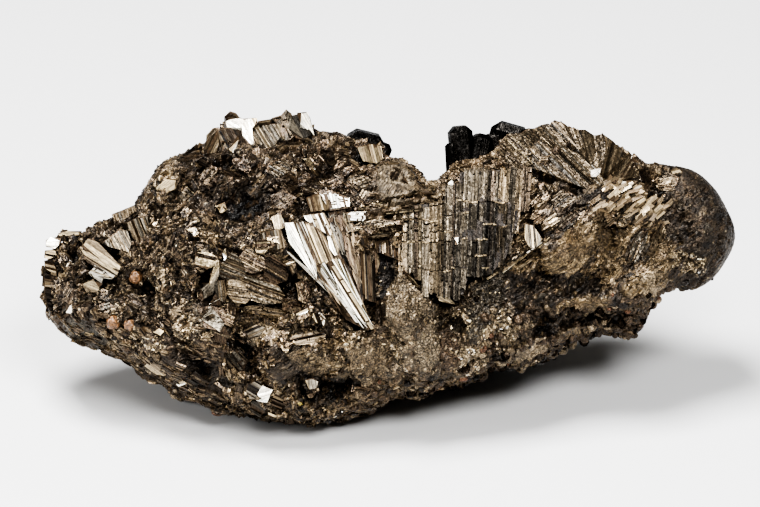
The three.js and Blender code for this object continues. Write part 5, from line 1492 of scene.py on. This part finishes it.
# What grows on the rock: piece, slot and its packets. A packet's row gives how many, where (styles, or a
# place that scattered() knows), leaves, length, width, thickness, rise, palette and what is unusual.
SCATTER = [
    ("needles", "bronze_blades", [
        (2200, ["glitter"], (3, 8), (0.5, 1.7), (0.16, 0.28), (0.4, 0.7), (0, 30), GLITTER, dict(wander=0.5)),
    ]),
    ("slivers", "bronze_blades", [
        (520, ["dark"], (3, 8), (1.2, 3.6), *THIN, (0, 25), SHADE + [(TAN, 1.2)], {}),
        (260, "hollow", (2, 5), (1.0, 2.6), *THIN, (15, 60), SHADE, {}),
        (420, ["fibrous"], (3, 8), (0.8, 2.4), *THIN, (0, 6), ROCK, dict(angle=146)),
        (560, ["streaked"], (3, 7), (1.0, 2.8), *THIN, (0, 8), ROCK, dict(angle=38)),
        (140, ["wavy"], (3, 7), (1.4, 3.4), *THIN, (0, 6), ROCK, dict(angle=14)),
        (160, ["golden"], (1, 4), (0.6, 1.8), *THIN, (0, 5), GOLDEN, dict(angle=40)),
    ]),
    ("chips", "bronze_blades", [
        (900, ["broken", "chippy"], (2, 5), (0.5, 1.6), (0.24, 0.5), (0.4, 0.8), (0, 40), BROKEN,
         dict(wander=0.6)),
        (700, ["speckled"], (1, 3), (0.35, 1.0), (0.22, 0.4), (0.3, 0.5), (0, 16),
         [(TAN, 3), (BEIGE, 2), (BRONZE, 2), (DARK, 1)], dict(wander=0.8)),
        (1300, ["mixed"], (2, 6), (0.7, 2.2), (0.22, 0.42), (0.4, 0.8), (0, 20), ROCK, dict(wander=0.5)),
        (420, ["granular"], (1, 3), (0.3, 0.8), (0.2, 0.36), (0.3, 0.5), (0, 40),
         [(WHITE, 1), (BEIGE, 4), (TAN, 2), (DARK, 1)], dict(wander=0.9)),
    ]),
    ("plate_field", "bright_blades", [
        (125, "plates", (1, 2), (2.2, 4.6), (0.45, 0.85), (0.5, 0.9), (8, 26), BRIGHT,
         dict(angle=36, wander=0.14, skew=0.6)),
    ]),
    ("back_blades", "grey_blades", [
        (70, "behind", (4, 11), (3.0, 7.0), (0.35, 0.7), (0.8, 1.5), (0, 12), BLADES,
         dict(wander=0.4, lift=0.1)),
        (60, ["glitter", "dark", "broken"], (3, 7), (1.4, 3.2), (0.3, 0.5), (0.5, 0.9), (0, 14), BLADES,
         dict(wander=0.5)),
    ]),
]


def scattered(ground):
    """The small crystals all over the rock, then the knobs along its lower edge."""
    rng = np.random.default_rng(31)
    u, v, w = ground.places.T
    out, up = ground.normals @ FACE_AXES[2], ground.normals[:, 2]
    where = {
        "hollow": (ground.hollow > 0.8) * 1.0,
        "plates": within(ground.places[:, :2], np.array(PLATES)) * (w > -8) * 1.0,
        # away from the face, off the rim that it is seen by, and most of all on top
        "behind": (w < -9) * (u < 55) * ~(np.abs(out) < 0.35) * (up > -0.3) * (0.4 + (up > 0.4)),
    }
    for name, slot, rows in SCATTER:
        heap = Heap(name, slot)
        for count, place, leaves, length, width, thick, rise, palette, special in rows:
            density = where[place] if isinstance(place, str) else ground.density(place)
            packets(heap, ground, rng, count, density, leaves, length, width, thick, rise, palette, **special)
        heap.object()

    shape, tris = ball(2)
    rim = (up < -0.1) * (v < -9) * np.clip(0.4 + u / 60, 0.15, 1)
    rim = np.maximum(rim, (up < -0.5) * 0.15)
    rim = np.maximum(rim, 0.8 * ground.density(["knobby"]))
    browns = [(DARK, 2), (BROWN, 4), (BRONZE, 2), (TAN, 0.8), (RUST, 0.4)]
    for name, slot, count, density, palette in (
        ("brown_knobs", "rock", 480, rim, browns),
        ("dark_knobs", "cassiterite", 90, rim * (u > 0), [(DARK, 1)]),
    ):
        knobs = Heap(name, slot)
        for point in ground.pick(rng, count, density)[0]:
            radial = warty(shape, rng.uniform(0, 50), 0.18)[0]
            size = rng.uniform(0.35, 1.15) * rng.uniform(0.75, 1.25, 3)
            places = point + shape * radial[:, None] * size
            knobs.add(places[None], [tris], tints(rng, palette, 1), shape[None] * 3 + rng.uniform(0, 90))
        knobs.object()


# ---- Making it all ----
relief = Relief()
relief.sink_hollows()
relief.break_up(1, 1300, (4.5, 10), (3, 6), 1.3, 0.6)
relief.break_up(2, 6500, (1.6, 4.2), (1, 2.4), 0.7, 0.35)
relief.break_up(3, 26000, (0.6, 1.6), (0.45, 1.1), 0.45, 0.1, fine=True)
for facet in PATCHES:
    relief.patch(*facet)
# The groups that stand for a node: its crystals, slot and what they share.
GROUPS = {
    "blade_fan": (FAN, "bright_blades", dict(grown=1.08, gap=0.04, pitch=0.5, step=0.4, lift=0.1,
        ragged=0.1)),
    "plate_sheaf": (SHEAF, "bronze_blades", dict(tree="all", thick=4.5, spread=0.35, dark=0.06, gap=0.02,
        step=0.13, grown=1.12, dim=0.46, rake=0.9, pitch=0.4, lift=0.5)),
    "crest_crystals": (CREST, "bright_blades", dict(tree="all", thick=4.5, gap=0.04, ragged=0.06, grown=1.07,
        rake=0.9, pitch=0.5, lift=0.1, dim=0.4)),
    "blade_book": (BOOK, "bronze_blades", dict(spread=0.3, dark=0.06, gap=0.02, ragged=0.05, grown=1.16,
        pitch=0.5, lift=0.8)),
    "left_plates": (LEFT, "bright_blades", dict(lift=0.9, grown=1.2, gap=0.03, dim=0.6, pitch=0.42)),
    "left_striated_plates": (LEFT_STRIATED, "grey_blades", dict(pitch=0.36, step=0.28, lift=0.5, spread=0.3)),
    "end_crystal": (END, "bright_blades", dict(step=0.3, lift=0.2, thick=6.0)),
}
GROUNDED = [(rows, usual.get("tree", node), True) for node, (rows, _, usual) in GROUPS.items()]
GROUNDED += [([[BLOCK]], "column_block", True), (EDGE + SINGLES, "all", True), (DULL, "all", False)]
for rows, tree, covered in GROUNDED:
    for outline, *_ in rows:
        corners = np.array(outline, float)
        relief.sink_under(corners, resting_plane(corners, tree), covered)
relief.finish(4)
CUTS = (-999, -27, 22, 999)  # where the rock is parted, so that no piece has too many triangles
for name, low, high in zip(("rock_left", "rock_middle", "rock_right"), CUTS, CUTS[1:]):
    relief.object(name, low, high)
ground = Ground(relief)

for seed, (node, (rows, slot, usual)) in enumerate(GROUPS.items()):
    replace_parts(laid_out(node + "_detail", slot, rows, 41 + seed, node, **usual).object(), node)
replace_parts(column_block().object(), "column_block")
for name, slot, rows, seed, usual in (
    ("block_edge_crystals", "bright_blades", EDGE, 49, dict(step=0.05, lift=0.5)),
    ("single_crystals", "bright_blades", SINGLES, 60, dict(lift=0.5, pitch=0.45)),
    ("dull_crystals", "bronze_blades", DULL, 71, dict(dim=0.42, spread=0.35, ragged=0.16, breaks=2.2,
     gap=0.02, thick=2.0, pitch=0.4, lift=0.1)),
):
    laid_out(name, slot, rows, seed, **usual).object()
rubble("crest_backs", "bronze_blades", CREST + SHEAF, 81, 40, (1.6, 5.0), 0.9).object()

rng = np.random.default_rng(51)
for node, blocks in BLACK_BLOCKS.items():
    heap = Heap(node + "_detail", "cassiterite")
    for centre, angles, size, bevel in blocks:
        bevelled(heap, centre, angles, size, bevel, BLACK, rng)
    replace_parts(heap.object(), node)

for seed, node in enumerate(("spherule_upper", "spherule_lower_left", "spherule_lower_right")):
    spherule(node, 3.7 * seed)
scattered(ground)


# ---- Floor, lights and camera ----
def plain(name, colour, roughness):
    material = bpy.data.materials.new(name)
    material.use_nodes = True
    surface = material.node_tree.nodes["Principled BSDF"]
    surface.inputs["Base Color"].default_value = (*colour, 1)
    surface.inputs["Roughness"].default_value = roughness
    return material


def floor():
    size = 3.0
    corners = [(-size, -size, 0), (size, -size, 0), (size, size, 0), (-size, size, 0)]
    mesh = bpy.data.meshes.new("floor")
    mesh.from_pydata(corners, [], [(0, 1, 2, 3)])
    mesh.materials.append(plain("floor", (0.6, 0.6, 0.6), 0.8))
    linked("floor", mesh)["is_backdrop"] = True


LIGHT_AIM = Vector((0, 0, 0.03))


def softbox(name, place, size, power):
    """A rectangular light that points at the specimen. Places and sizes are in metres."""
    light = bpy.data.lights.new(name, "AREA")
    light.shape = "RECTANGLE"
    light.size, light.size_y = size
    light.energy = power
    obj = linked(name, light)
    obj.location = place
    obj.rotation_mode = "QUATERNION"
    obj.rotation_quaternion = (LIGHT_AIM - Vector(place)).to_track_quat("-Z", "Y")


def world(colour, strength):
    made = bpy.data.worlds.new("world")
    made.use_nodes = True
    background = made.node_tree.nodes["Background"]
    background.inputs["Color"].default_value = (*colour, 1)
    background.inputs["Strength"].default_value = strength
    bpy.context.scene.world = made


LENS = 400.0
SENSOR = 36.0
IMAGE_WIDTH = 760
SCALE = 690 / 150  # pixels to a millimetre at the outline's depth
OUTLINE_DEPTH = -4.0
AIM = (-1.74, 3.59)  # what the camera looks at, on the face


def camera():
    """The camera looks straight at the face, from where the specimen is as large as in the photo."""
    distance = LENS / SENSOR * IMAGE_WIDTH / SCALE + OUTLINE_DEPTH
    data = bpy.data.cameras.new("camera")
    data.lens, data.sensor_width = LENS, SENSOR
    data.clip_end = 20
    obj = linked("camera", data)
    obj.location = row([*AIM, distance]) * MM
    obj.rotation_euler = (math.pi / 2 - LEAN, 0, 0)
    bpy.context.scene.camera = obj


floor()
camera()
world((1, 0.98, 0.95), 0.11)
softbox("key_above", (-0.15, -0.05, 0.75), (0.35, 0.3), 15)
softbox("front_above", (0.2, -0.6, 0.65), (0.4, 0.25), 11)
softbox("left_side", (-0.8, -0.25, 0.3), (0.25, 0.35), 5)
bpy.context.scene.view_settings.look = "AgX - High Contrast"

size = {"cad": CAD_BOX, "visual": [list(corner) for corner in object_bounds()]}
